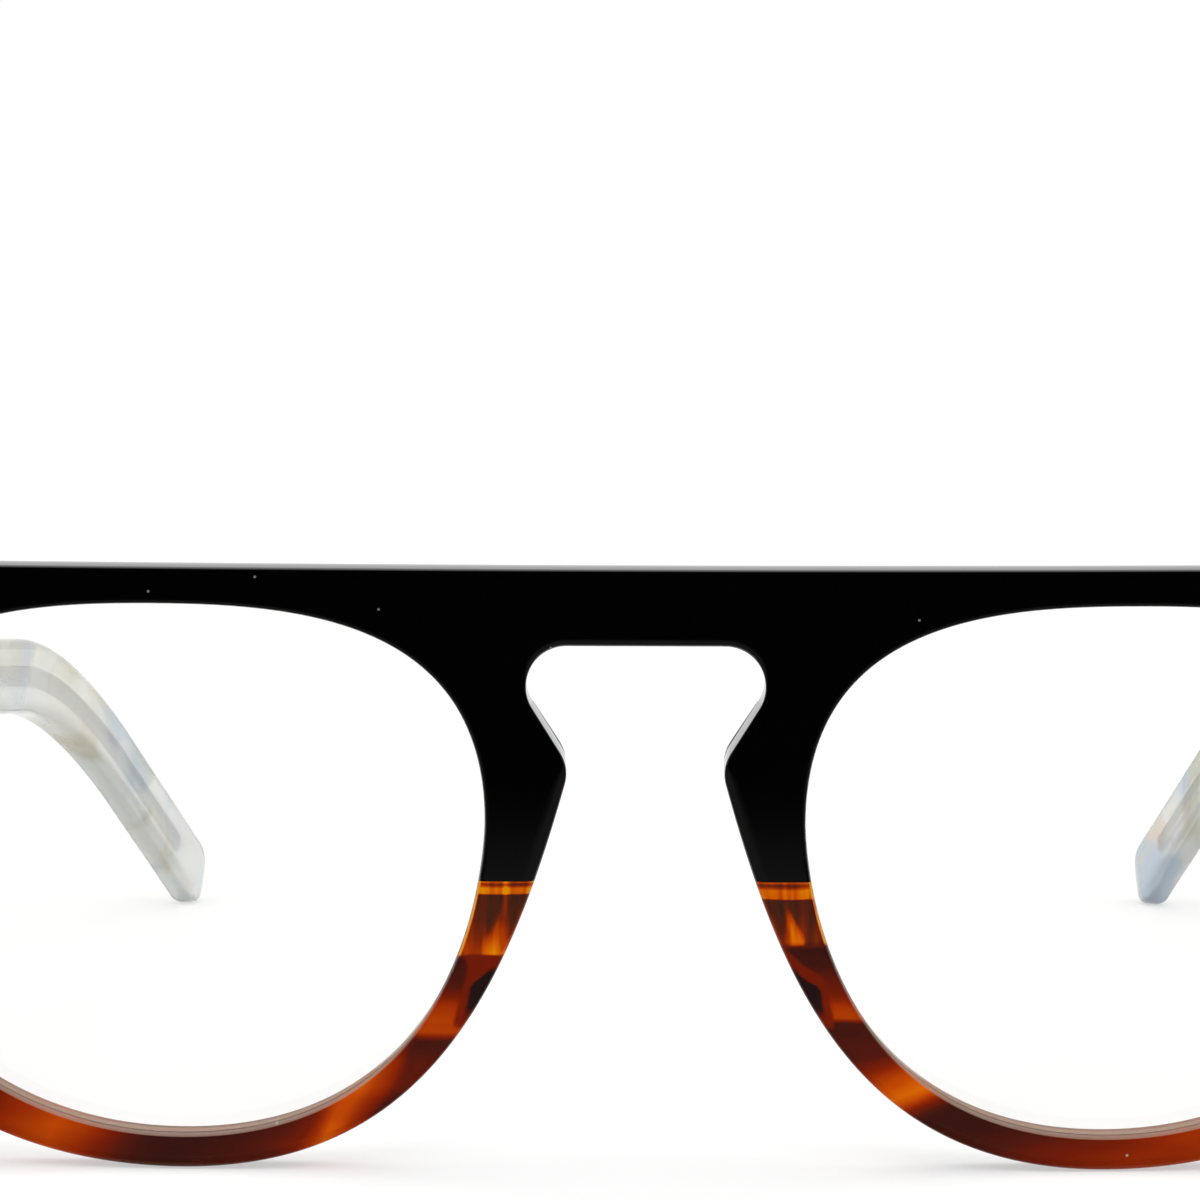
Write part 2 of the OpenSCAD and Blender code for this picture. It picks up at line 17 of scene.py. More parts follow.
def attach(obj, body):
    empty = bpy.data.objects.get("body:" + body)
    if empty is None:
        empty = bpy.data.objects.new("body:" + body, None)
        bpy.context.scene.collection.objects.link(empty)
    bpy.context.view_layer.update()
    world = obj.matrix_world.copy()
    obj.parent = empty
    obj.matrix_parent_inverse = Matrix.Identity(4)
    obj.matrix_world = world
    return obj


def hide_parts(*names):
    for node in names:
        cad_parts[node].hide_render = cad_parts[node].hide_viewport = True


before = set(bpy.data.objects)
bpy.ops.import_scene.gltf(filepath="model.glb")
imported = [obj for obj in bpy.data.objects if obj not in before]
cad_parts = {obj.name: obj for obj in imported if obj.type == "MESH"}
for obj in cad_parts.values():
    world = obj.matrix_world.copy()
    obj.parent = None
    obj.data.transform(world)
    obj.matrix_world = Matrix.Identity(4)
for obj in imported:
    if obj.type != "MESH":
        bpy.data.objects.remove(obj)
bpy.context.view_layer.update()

MM = 0.001
LEFT, RIGHT = -1, 1
SIDES = {"left": LEFT, "right": RIGHT}

# Sizes of the front, in millimetres, as the solids have them

LENS_WIDTH = 48
LENS_HEIGHT = 39.9
LENS_THICKNESS = 2
LENS_RADIUS = 160
GROOVE_DEPTH = 0.5
GROOVE_WIDTH = 0.9
LENS_CLEARANCE = 0.05
LENS_DROOP = 1.4
LENS_WAIST = 23.75
BRIDGE_WIDTH = 22
ENDPIECE_REACH = 11
THICKNESS = 4
BROW_HEIGHT = 2.7
LOWER_RIM_HEIGHT = 2.45
SIDE_RIM_WIDTH = 3.4
SEAM_HEIGHT = 21.4
ENDPIECE_HEIGHT = 15.25
FRONT_LEAN = math.radians(4)
FRONT_RADIUS = 800
BRIDGE_HEIGHT = 5.6
KEYHOLE_RIM_WIDTH = 2.95
KEYHOLE_RADIUS = 2.9
NOSE_RIM_WIDTH = 5.85
KEYHOLE_HEIGHT = 9.25
NOSE_GAP_RADIUS = 3.05
NOSE_ANGLE = 15.5
PAD_DEPTH = 5
PAD_LENGTH = 19
PAD_RISE = 1.8
PAD_MARGIN = 0.3
HINGE_DROP = 8.85
KNUCKLE_RADIUS = 1.75
KNUCKLE_ROOM = 0.4
LEAF_PROUD = 0.1
JOINT_GAP = 0.05
ARMPIT_RADIUS = 4
LOWER_CORNER_RADIUS = 2
UPPER_CORNER_RADIUS = 3

# Sizes of a temple

TEMPLE_LENGTH = 145
TEMPLE_THICKNESS = 4
TIP_THICKNESS = 3
BUTT_HEIGHT = 12.4
SHAFT_HEIGHT = 6.8
TIP_HEIGHT = 6.6
TAPER_LENGTH = 40
BEND_START = 90
BEND_RADIUS = 55
BEND_DOWN = math.radians(33)
BEND_IN = math.radians(13)
TOE_IN = math.radians(3.8)
LEFT_TURN = math.radians(3.3)
SQUARENESS = 4.5

# Rounding of the polished acetate's edges: how far each reaches over the face, and into the depth

OPENING_ROUND = (0.38, 0.35)
BROW_ROUND = (0.3, 0.24)
BROW_BACK_ROUND = (0.12, 0.6)
KEYHOLE_TOP_ROUND = (0.7, 0.5)
KEYHOLE_FLANK_ROUND = (0.14, 0.14)
NOSE_ROUND = (1.0, 0.55)
RIM_ROUND = (0.6, 0.5)
BACK_ROUND = (0.45, 0.45)
ENDPIECE_ROUND = 0.3
SUPPORT = 0.05
# Higher numbers let the face run further before it turns into the edge
FACE_SOFTNESS = 3.2

# The outer wall bulges: its highest line lies this deep, and it falls away by the square of the
# distance from there, in full along the brow's top and by a share of it elsewhere

BULGE_DEPTH = 1.3
BULGE = 0.036
OTHER_BULGE_SHARE = 0.12


# Steps between two numbers, and curves as arrays of points

def bezier(p0, p1, p2, p3, steps):
    t = (np.arange(steps) / steps)[:, None]
    u = 1 - t
    points = np.array([p0, p1, p2, p3], float)
    return u**3 * points[0] + 3 * u**2 * t * points[1] + 3 * u * t**2 * points[2] + t**3 * points[3]


def arc(centre, radius, start, end, steps):
    a = np.radians(np.linspace(start, end, steps + 1))
    return np.array(centre) + radius * np.stack([np.cos(a), np.sin(a)], 1)


def mirrored(points):
    return points[::-1] * [-1, 1]


def densified(points, step):
    """The closed outline with its long straight stretches cut into steps."""
    out = []
    for a, b in zip(points, np.roll(points, -1, 0)):
        pieces = max(1, math.ceil(np.linalg.norm(b - a) / step - 0.001))
        out += [a + (b - a) * k / pieces for k in range(pieces)]
    return np.array(out)


def outwards(points):
    """Unit normals that point out of an outline that runs anticlockwise."""
    before = points - np.roll(points, 1, 0)
    after = np.roll(points, -1, 0) - points
    before /= np.linalg.norm(before, axis=1)[:, None]
    after /= np.linalg.norm(after, axis=1)[:, None]
    along = before + after
    along /= np.linalg.norm(along, axis=1)[:, None]
    return np.stack([along[:, 1], -along[:, 0]], 1)


def smooth_step(t):
    t = np.clip(t, 0, 1)
    return t * t * (3 - 2 * t)


def blend(a, b, t):
    return a + (b - a) * smooth_step(t)


def ratio(value, start, end):
    return (value - start) / (end - start)


# Outlines of the front

OPENING_IN = BRIDGE_WIDTH / 2 + GROOVE_DEPTH
OPENING_OUT = BRIDGE_WIDTH / 2 + LENS_WIDTH - GROOVE_DEPTH
OPENING_BOTTOM = LOWER_RIM_HEIGHT
OPENING_TOP = OPENING_BOTTOM + LENS_HEIGHT - 2 * GROOVE_DEPTH
OPENING_MIDDLE = (OPENING_IN + OPENING_OUT) / 2
LOWEST_X = OPENING_MIDDLE - LENS_DROOP
WAIST_HEIGHT = OPENING_BOTTOM + LENS_WAIST - GROOVE_DEPTH
FRONT_HEIGHT = OPENING_TOP + BROW_HEIGHT
EDGE_X = BRIDGE_WIDTH / 2 + LENS_WIDTH + ENDPIECE_REACH
KEYHOLE_TOP = FRONT_HEIGHT - BRIDGE_HEIGHT
NOSE_GAP_HEIGHT = KEYHOLE_TOP - KEYHOLE_HEIGHT
ENDPIECE_BOTTOM = FRONT_HEIGHT - ENDPIECE_HEIGHT

# How far each curve of a lens opening keeps its first direction, as a share of its own reach
UPPER_SIDE_HOLD = 0.95
UPPER_TOP_HOLD = 0.42
LOWER_SIDE_HOLD = 0.45
NOSE_SIDE_HOLD = 0.1
# The same along the bottom, and for the front's outer edge, in millimetres
LOWER_BOTTOM_HOLD = 0.34 * LENS_WIDTH
NOSE_BOTTOM_HOLD = 0.44 * LENS_WIDTH
NOSE_HOLD = 0.528 * NOSE_GAP_HEIGHT
RIM_BOTTOM_HOLD = 0.374 * LENS_WIDTH
# The same for the front's outer side, as a share of its height
SIDE_HOLD_SHARE = 0.53
# Points of each curve of an opening, and the longest step along the outer edge
CURVE_STEPS = 64
OUTLINE_STEP = 0.6


def opening_outline():
    """The right lens opening, anticlockwise from its innermost point, down first."""
    upper_height = OPENING_TOP - WAIST_HEIGHT
    lower_height = WAIST_HEIGHT - OPENING_BOTTOM
    rise = np.array([0, upper_height * UPPER_SIDE_HOLD])
    run = np.array([(OPENING_OUT - OPENING_IN) / 2 * UPPER_TOP_HOLD, 0])
    drop = np.array([0, lower_height * LOWER_SIDE_HOLD])
    nose_drop = np.array([0, lower_height * NOSE_SIDE_HOLD])
    reach = np.array([LOWER_BOTTOM_HOLD, 0])
    nose_reach = np.array([NOSE_BOTTOM_HOLD, 0])
    inner = np.array([OPENING_IN, WAIST_HEIGHT])
    top = np.array([OPENING_MIDDLE, OPENING_TOP])
    outer = np.array([OPENING_OUT, WAIST_HEIGHT])
    low = np.array([LOWEST_X, OPENING_BOTTOM])
    return np.concatenate([
        bezier(inner, inner - nose_drop, low - nose_reach, low, CURVE_STEPS),
        bezier(low, low + reach, outer - drop, outer, CURVE_STEPS),
        bezier(outer, outer + rise, top + run, top, CURVE_STEPS),
        bezier(top, top - run, inner + rise, inner, CURVE_STEPS),
    ])


def front_outline():
    """The whole front, anticlockwise, without its openings."""
    keyhole = np.array([OPENING_IN - KEYHOLE_RIM_WIDTH - KEYHOLE_RADIUS, KEYHOLE_TOP - KEYHOLE_RADIUS])
    gap = np.array([OPENING_IN - NOSE_RIM_WIDTH + NOSE_GAP_RADIUS, NOSE_GAP_HEIGHT])
    step = gap - keyhole
    flank = math.degrees(
        math.atan2(step[1], step[0])
        - math.asin((KEYHOLE_RADIUS + NOSE_GAP_RADIUS) / np.linalg.norm(step))
    )
    angle = math.radians(NOSE_ANGLE)
    nose_start = gap - NOSE_GAP_RADIUS * np.array([math.cos(angle), math.sin(angle)])
    nose_hold = NOSE_HOLD * np.array([math.sin(angle), -math.cos(angle)])
    bottom = np.array([LOWEST_X, 0])
    bottom_hold = np.array([RIM_BOTTOM_HOLD, 0])
    side_top = np.array([OPENING_OUT + SIDE_RIM_WIDTH, ENDPIECE_BOTTOM - ARMPIT_RADIUS])
    side_hold = np.array([0, SIDE_HOLD_SHARE * side_top[1]])
    half = np.concatenate([
        arc(keyhole, KEYHOLE_RADIUS, 90, flank + 90, 24),
        arc(gap, NOSE_GAP_RADIUS, flank + 270, 180 + NOSE_ANGLE, 12),
        bezier(nose_start, nose_start + nose_hold, bottom - bottom_hold, bottom, 80)[1:],
        bezier(bottom, bottom + bottom_hold, side_top - side_hold, side_top, 72),
        arc(side_top + [ARMPIT_RADIUS, 0], ARMPIT_RADIUS, 180, 90, 14),
        arc([EDGE_X - LOWER_CORNER_RADIUS, ENDPIECE_BOTTOM + LOWER_CORNER_RADIUS],
            LOWER_CORNER_RADIUS, -90, 0, 10),
        arc([EDGE_X - UPPER_CORNER_RADIUS, FRONT_HEIGHT - UPPER_CORNER_RADIUS],
            UPPER_CORNER_RADIUS, 0, 90, 14),
    ])
    return np.concatenate([half, mirrored(half)])


# Depths in the front's frame

HINGE_HEIGHT = FRONT_HEIGHT - HINGE_DROP
TEMPLE_FACE = KNUCKLE_RADIUS + KNUCKLE_ROOM + LEAF_PROUD
HINGE_X = EDGE_X - (TEMPLE_FACE + TEMPLE_THICKNESS) * math.cos(TOE_IN)
HINGE_Y = (
    FRONT_RADIUS - math.sqrt(FRONT_RADIUS**2 - HINGE_X**2)
    + THICKNESS / math.cos(FRONT_LEAN) - HINGE_HEIGHT * math.tan(FRONT_LEAN) + TEMPLE_FACE
)
# Where the thick block of each endpiece starts
STEP_X = HINGE_X + (TEMPLE_FACE + KNUCKLE_ROOM) / math.cos(TOE_IN)
LENS_X = OPENING_MIDDLE * (1 - LENS_RADIUS / FRONT_RADIUS)
LENS_Z = (OPENING_TOP + OPENING_BOTTOM) / 2


def fall(x, z):
    return (x * x / FRONT_RADIUS - ((x - LENS_X) ** 2 + (z - LENS_Z) ** 2) / LENS_RADIUS) / 2


LENS_DEPTH = THICKNESS / 2 + (fall(OPENING_IN, LENS_Z) + fall(OPENING_MIDDLE, OPENING_TOP)) / 2


def front_face(x, z):
    return FRONT_RADIUS - np.sqrt(FRONT_RADIUS**2 - x**2)


def back_face(x, z):
    return FRONT_RADIUS - np.sqrt((FRONT_RADIUS - THICKNESS) ** 2 - x**2)


def lens_face(sign):
    """The curve of a lens's front (-1), middle (0) or back (1)."""
    radius = LENS_RADIUS - sign * LENS_THICKNESS / 2

    def depth(x, z):
        aside = (np.abs(x) - LENS_X) ** 2 + (z - LENS_Z) ** 2
        return LENS_DEPTH + LENS_RADIUS - np.sqrt(radius**2 - aside)

    return depth


def joint_face(x, z):
    """The upright face of an endpiece that the temple's end closes on."""
    ahead = HINGE_Y + math.tan(TOE_IN) * (np.abs(x) - HINGE_X) + z * math.sin(FRONT_LEAN)
    return ahead / math.cos(FRONT_LEAN)


# The origin of the shared frame, midway between the brow's edge and the temple tips

BEND_ANGLE = math.acos(math.cos(BEND_IN) * math.cos(BEND_DOWN))
ALONG_SHAFT = np.array([0.0, 1.0, 0.0])
ALONG_TIP = np.array([
    -math.sin(BEND_IN) * math.cos(BEND_DOWN),
    math.cos(BEND_IN) * math.cos(BEND_DOWN),
    -math.sin(BEND_DOWN),
])
BEND_TOWARDS = (ALONG_TIP - math.cos(BEND_ANGLE) * ALONG_SHAFT) / math.sin(BEND_ANGLE)
BEND_LENGTH = BEND_RADIUS * BEND_ANGLE
BEND_END = BEND_START + BEND_LENGTH
TIP_RADIUS = TIP_HEIGHT / 2
ROUND_START = TEMPLE_LENGTH - TIP_RADIUS


def bend_turn(s):
    return min(max(s - BEND_START, 0), BEND_LENGTH) / BEND_RADIUS


def path_point(s):
    turn, rest = bend_turn(s), max(s - BEND_END, 0)
    ahead = min(s, BEND_START) + BEND_RADIUS * math.sin(turn) + rest * math.cos(BEND_ANGLE)
    aside = BEND_RADIUS * (1 - math.cos(turn)) + rest * math.sin(BEND_ANGLE)
    return ahead * ALONG_SHAFT + aside * BEND_TOWARDS


def path_direction(s):
    return math.cos(bend_turn(s)) * ALONG_SHAFT + math.sin(bend_turn(s)) * BEND_TOWARDS


def path_out(s):
    d = path_direction(s)
    side = np.array([1.0, 0.0, 0.0]) - d[0] * d
    return side / np.linalg.norm(side)


TIP_CENTRE = path_point(ROUND_START)
TIP_UPRIGHT = TIP_RADIUS * math.sqrt(1 - path_out(ROUND_START)[2] ** 2)
TEMPLE_SLOPE = math.asin(
    (HINGE_HEIGHT - TIP_UPRIGHT) / math.hypot(TIP_CENTRE[1], TIP_CENTRE[2])
) - math.atan2(-TIP_CENTRE[2], TIP_CENTRE[1])
TIP_REACH_Y = (
    HINGE_Y
    + (TIP_CENTRE[1] * math.cos(TEMPLE_SLOPE) + TIP_CENTRE[2] * math.sin(TEMPLE_SLOPE)) * math.cos(TOE_IN)
    + (TEMPLE_FACE + TEMPLE_THICKNESS / 2 + TIP_CENTRE[0]) * math.sin(TOE_IN)
    + TIP_RADIUS
)
ORIGIN_Y = (TIP_REACH_Y - FRONT_HEIGHT * math.sin(FRONT_LEAN)) / 2


def leaned(points):
    """Points of the front's frame, in the shared frame and in metres."""
    p = np.asarray(points, float).reshape(-1, 3)
    y = p[:, 1] * math.cos(FRONT_LEAN) - p[:, 2] * math.sin(FRONT_LEAN) - ORIGIN_Y
    z = p[:, 1] * math.sin(FRONT_LEAN) + p[:, 2] * math.cos(FRONT_LEAN)
    return np.stack([p[:, 0], y, z], 1) * MM


def linked(name, mesh):
    made = bpy.data.objects.new(name, mesh)
    bpy.context.scene.collection.objects.link(made)
    return made


def mesh_object(name, vertices, faces, smooth=True):
    mesh = bpy.data.meshes.new(name)
    mesh.from_pydata([tuple(v) for v in vertices], [], [tuple(f) for f in faces])
    mesh.validate()
    mesh.update()
    mesh.polygons.foreach_set("use_smooth", [smooth] * len(mesh.polygons))
    return linked(name, mesh)


def stacked_faces(levels, around, flip):
    """Faces of a closed skin over a stack of rings that all have the same number of points."""
    faces = []
    for k in range(levels - 1):
        below, above = k * around, (k + 1) * around
        for i in range(around):
            j = (i + 1) % around
            faces.append([below + i, below + j, above + j, above + i])
    faces.append(list(range(around))[::-1])
    faces.append([(levels - 1) * around + i for i in range(around)])
    return [f[::-1] for f in faces] if flip else faces


# The front's body, as rings that follow each outline from the front face to the back face

def rounded_edge(width, depth, steps=8):
    """Rings of an edge that curves from a face into a wall, as pairs of inset and depth."""
    rings = [(width + SUPPORT, 0)]
    for a in np.linspace(0, math.pi / 2, steps + 1):
        rings.append((width * (1 - math.sin(a) ** (2 / FACE_SOFTNESS)), depth * (1 - math.cos(a))))
    return [*rings, (0, depth + SUPPORT)]


# Length over which rounding and bulge fade out before an endpiece's block
BLOCK_FADE = 4
# How much a wall has to face up to count as a top: from the first number on, and in full at the second
BULGE_TOP = (0.7, 0.95)
ROUNDED_TOP = (0.3, 0.9)
# The heights between which one rounding of the front edge turns into another
BROW_CHANGE = (FRONT_HEIGHT - 1.5, FRONT_HEIGHT)
NOSE_CHANGE = (14, 24)
KEYHOLE_CHANGE = (NOSE_GAP_HEIGHT - 1.6, NOSE_GAP_HEIGHT + 2)
# How much the keyhole's wall faces up at its flanks, and down at its top
KEYHOLE_FLANK_CHANGE = (0.35, -0.75)
# The outer wall's rings between its edges, as shares of the way from its end to its start
WALL_SHARES = (0.75, 0.5, 0.25)
WALL_START = 0.7
# The least rounding that an edge keeps
LEAST_ROUND = 0.01


def sheet_share(outline):
    """1 along the plain sheet, fading to 0 where the endpieces' blocks start."""
    return smooth_step((STEP_X - np.abs(outline[:, 0])) / BLOCK_FADE)


def bulge(normals, outline, depth):
    """How far a wall falls away from its highest line."""
    share = blend(OTHER_BULGE_SHARE, 1, ratio(normals[:, 1], *BULGE_TOP))
    share = np.where(outline[:, 1] > KEYHOLE_TOP, share, OTHER_BULGE_SHARE)
    return BULGE * sheet_share(outline) * share * (depth - BULGE_DEPTH) ** 2


# The sides of the even triangles that fill a face, and the distance of their rows as a share of that
FACE_SPACING = 1.4
ROW_SPACING = 0.87


class FrontMesh:
    """Collects the front's vertices and faces in the front's own frame."""

    def __init__(self):
        self.vertices = []
        self.faces = []

    def add(self, plan, y):
        """Adds points and returns their numbers."""
        first = sum(len(v) for v in self.vertices)
        self.vertices.append(np.stack([plan[:, 0], y, plan[:, 1]], 1))
        return np.arange(first, first + len(plan))

    def ring(self, outline, normals, grow, surface, offset):
        """Adds an outline grown by some distance, on a surface or behind it by an offset."""
        plan = outline + normals * np.reshape(grow, (-1, 1))
        return self.add(plan, surface(*plan.T) + offset)

    def skin(self, rings, flip):
        """Fills between each ring and the next."""
        for a, b in zip(rings, rings[1:]):
            for i in range(len(a)):
                j = (i + 1) % len(a)
                quad = [a[i], a[j], b[j], b[i]]
                self.faces.append(quad[::-1] if flip else quad)

    def for_side(self, side):
        """The vertices and the faces, mirrored for the left side."""
        vertices = np.concatenate(self.vertices) * [side, 1, 1]
        return vertices, [f[::-1] for f in self.faces] if side == LEFT else self.faces

    def cap(self, loops, surface, flip, spacing=FACE_SPACING):
        """Fills between closed loops of vertex numbers with near even triangles."""
        known = np.concatenate(self.vertices)
        numbers = np.concatenate(loops)
        plan = known[numbers][:, [0, 2]]
        edges, start = [], 0
        for loop in loops:
            n = len(loop)
            edges += [(start + i, start + (i + 1) % n) for i in range(n)]
            start += n
        low, high = plan.min(0), plan.max(0)
        rows = []
        for k, z in enumerate(np.arange(low[1], high[1], spacing * ROW_SPACING)):
            x = np.arange(low[0] + (k % 2) * spacing / 2, high[0], spacing)
            rows.append(np.stack([x, np.full(len(x), z)], 1))
        grid = np.concatenate(rows)
        shapes = [known[loop][:, [0, 2]] for loop in loops]
        grid = grid[inside_loops(grid, shapes)]
        near = np.array([np.min(np.sum((plan - g) ** 2, 1)) for g in grid])
        grid = grid[near > (0.5 * spacing) ** 2]
        everything = [Vector(p) for p in np.concatenate([plan, grid])]
        found = delaunay_2d_cdt(everything, edges, [], 0, 1e-6)
        origin = [o[0] if o else -1 for o in found[3]]
        added = self.add(grid, surface(*grid.T))
        lookup = np.concatenate([numbers, added])
        triangles = np.array([list(f) for f in found[2]])
        spots = np.array([list(v) for v in found[0]])
        keep = inside_loops(spots[triangles].mean(1), shapes)
        for tri in triangles[keep]:
            a, b, c = (lookup[origin[k]] for k in tri)
            self.faces.append([a, b, c][::-1] if flip else [a, b, c])


def inside_loops(points, loops):
    """True where a point is inside an odd number of the loops."""
    result = np.zeros(len(points), bool)
    for loop in loops:
        a, b = loop, np.roll(loop, -1, 0)
        for (x0, y0), (x1, y1) in zip(a, b):
            if y0 == y1:
                continue
            crosses = (points[:, 1] > min(y0, y1)) & (points[:, 1] <= max(y0, y1))
            where = x0 + (points[:, 1] - y0) / (y1 - y0) * (x1 - x0)
            result ^= crosses & (points[:, 0] < where)
    return result


def with_step_points(outline):
    """The front's outline with a point where each endpiece's thick block starts."""
    out = []
    for a, b in zip(outline, np.roll(outline, -1, 0)):
        out.append(a)
        for x in (STEP_X, -STEP_X):
            if (a[0] - x) * (b[0] - x) < -1e-12 and min(a[1], b[1]) > ENDPIECE_BOTTOM - 1:
                out.append(a + (b - a) * (x - a[0]) / (b[0] - a[0]))
    return np.array(out)


def front_rounding(outline, normals):
    """How far the front edge's rounding reaches at each point, over the face and in depth."""
    x, z, up = np.abs(outline[:, 0]), outline[:, 1], normals[:, 1]
    size = np.zeros((len(outline), 2))
    for k in (0, 1):
        rim = blend(RIM_ROUND[k], BROW_ROUND[k], ratio(z, *BROW_CHANGE))
        keyhole = blend(KEYHOLE_FLANK_ROUND[k], KEYHOLE_TOP_ROUND[k], ratio(up, *KEYHOLE_FLANK_CHANGE))
        nose = blend(RIM_ROUND[k], NOSE_ROUND[k], ratio(z, *NOSE_CHANGE))
        inner = blend(nose, keyhole, ratio(z, *KEYHOLE_CHANGE))
        size[:, k] = np.where((x < LOWEST_X) & (z < KEYHOLE_TOP + 0.01), inner, rim)
    return size[:, 0], size[:, 1]


def back_rounding(outline, normals):
    """How far the back edge's rounding reaches. It fades out where the endpiece blocks start."""
    top = smooth_step(ratio(normals[:, 1], *ROUNDED_TOP)) * (outline[:, 1] > KEYHOLE_TOP + 0.5)
    width = BACK_ROUND[0] + (BROW_BACK_ROUND[0] - BACK_ROUND[0]) * top
    depth = BACK_ROUND[1] + (BROW_BACK_ROUND[1] - BACK_ROUND[1]) * top
    share = sheet_share(outline)
    return LEAST_ROUND + (width - LEAST_ROUND) * share, LEAST_ROUND + (depth - LEAST_ROUND) * share


def outer_wall(body):
    """The wall round the front. Returns its front loop and its back loop."""
    outline = with_step_points(densified(front_outline(), OUTLINE_STEP))
    normals = outwards(outline)
    back_width, back_depth = back_rounding(outline, normals)
    wall_end = THICKNESS - back_depth - SUPPORT
    steps = rounded_edge(*front_rounding(outline, normals))
    steps += [(0, WALL_START * share + wall_end * (1 - share)) for share in WALL_SHARES]
    steps += [(inset, THICKNESS - depth) for inset, depth in rounded_edge(back_width, back_depth)[::-1]]
    rings = [
        body.ring(outline, normals, -inset - bulge(normals, outline, depth), front_face, depth)
        for inset, depth in steps
    ]
    body.skin(rings, flip=True)
    return rings[0], rings[-1]


def opening_wall(body, side):
    """The wall of one lens opening with its groove. Returns its front and back loops."""
    outline = opening_outline()
    if side == LEFT:
        outline = mirrored(outline)
    normals = outwards(outline)
    rings = []
    for grow, depth in rounded_edge(*OPENING_ROUND):
        rings.append(body.ring(outline, normals, grow, front_face, depth))
    middle = lens_face(0)(*outline.T)
    for grow, offset in ((0, -GROOVE_WIDTH / 2), (GROOVE_DEPTH, 0), (0, GROOVE_WIDTH / 2)):
        rings.append(body.add(outline + normals * grow, middle + offset))
    for grow, depth in rounded_edge(*BACK_ROUND)[::-1]:
        rings.append(body.ring(outline, normals, grow, back_face, -depth))
    body.skin(rings, flip=False)
    return rings[0], rings[-1]


def front_body():
    """The whole front as one closed shell, still in one piece at the seam."""
    body = FrontMesh()
    walls = [outer_wall(body)] + [opening_wall(body, side) for side in (LEFT, RIGHT)]
    fronts, backs = zip(*walls)
    body.cap(fronts, front_face, flip=False)
    body.cap(backs, back_face, flip=True)
    return body


def block_root(x, z):
    """Where an endpiece's block starts, well inside the sheet."""
    return back_face(x, z) - 0.4 * THICKNESS


def endpiece(side):
    """The thick block of an endpiece behind the front's sheet, with a rounded outer edge."""
    inner_steps = 19
    outline = densified(front_outline(), OUTLINE_STEP)
    kept = outline[(outline[:, 0] > STEP_X + 0.05) & (outline[:, 1] > ENDPIECE_BOTTOM - 0.01)]
    start = np.array([[STEP_X, ENDPIECE_BOTTOM]])
    end = np.array([[STEP_X, FRONT_HEIGHT]])
    inner = np.linspace(end[0], start[0], inner_steps + 1)[1:-1]
    loop = densified(np.concatenate([start, kept, end, inner]), OUTLINE_STEP)
    normals = outwards(loop)
    normals[np.abs(loop[:, 0] - STEP_X) < 1e-6] = [-1, 0]
    # a hair inside the sheet's wall, so that the two never fight for the same place
    tuck = 0.004
    block = FrontMesh()
    rings = [block.ring(loop, normals, -tuck, block_root, 0)]
    for inset, down in rounded_edge(ENDPIECE_ROUND, ENDPIECE_ROUND)[::-1]:
        rings.append(block.ring(loop, normals, -inset - tuck, joint_face, -down))
    block.skin(rings, flip=True)
    block.cap([rings[0]], block_root, flip=False)
    block.cap([rings[-1]], joint_face, flip=True)
    return block.for_side(side)


def cut_at_seam(vertices, faces, keep_upper):
    """One side of the seam as a closed mesh with a flat face at the seam."""
    bm = bmesh.new()
    for v in vertices:
        bm.verts.new(v)
    bm.verts.ensure_lookup_table()
    for f in faces:
        bm.faces.new([bm.verts[i] for i in f])
    bmesh.ops.bisect_plane(
        bm, geom=bm.verts[:] + bm.edges[:] + bm.faces[:], dist=1e-6,
        plane_co=(0, 0, SEAM_HEIGHT), plane_no=(0, 0, 1),
        clear_inner=keep_upper, clear_outer=not keep_upper,
    )
    rim = [e for e in bm.edges if e.is_boundary]
    before = set(bm.faces)
    bmesh.ops.holes_fill(bm, edges=rim, sides=0)
    for face in set(bm.faces) - before:
        for edge in face.edges:
            edge.smooth = False
    return bm


def finished(bm, name):
    """Turns a bmesh of the front's frame into an object of the shared frame."""
    bmesh.ops.recalc_face_normals(bm, faces=bm.faces[:])
    places = leaned([v.co[:] for v in bm.verts])
    for v, place in zip(bm.verts, places):
        v.co = place
    for face in bm.faces:
        face.smooth = True
    mesh = bpy.data.meshes.new(name)
    bm.to_mesh(mesh)
    bm.free()
    return linked(name, mesh)


def halves(bm):
    """Splits the two lower rims, left and right of the nose."""
    out = {}
    for name, side in SIDES.items():
        copy = bm.copy()
        other = [v for v in copy.verts if v.co.x * side < 0]
        bmesh.ops.delete(copy, geom=other, context="VERTS")
        out[name] = copy
    return out


def union(target, other):
    """Joins another closed mesh into the target as one skin."""
    modifier = target.modifiers.new("join", "BOOLEAN")
    modifier.operation = "UNION"
    modifier.solver = "EXACT"
    modifier.object = other
    graph = bpy.context.evaluated_depsgraph_get()
    mesh = bpy.data.meshes.new_from_object(target.evaluated_get(graph))
    target.modifiers.clear()
    old = target.data
    target.data = mesh
    bpy.data.meshes.remove(old)
    bpy.data.objects.remove(other)


def build_front():
    body = front_body()
    vertices = np.concatenate(body.vertices)
    upper = finished(cut_at_seam(vertices, body.faces, True), "brow_acetate")
    for side in (LEFT, RIGHT):
        block_vertices, block_faces = endpiece(side)
        block = mesh_object("endpiece_block", leaned(block_vertices), block_faces)
        union(upper, block)
    upper.data.name = "brow_acetate"
    pieces = {"upper": upper}
    lower = cut_at_seam(vertices, body.faces, False)
    for name, bm in halves(lower).items():
        pieces[name] = finished(bm, "lower_rim_acetate_" + name)
    lower.free()
    return pieces


# Lenses, with a curve on both faces and a ridge round the edge

# The gap round a lens, the width of its broken edges and the spacing of its triangles
LENS_GAP = 0.01
LENS_EDGE = 0.02
LENS_SPACING = 1.8


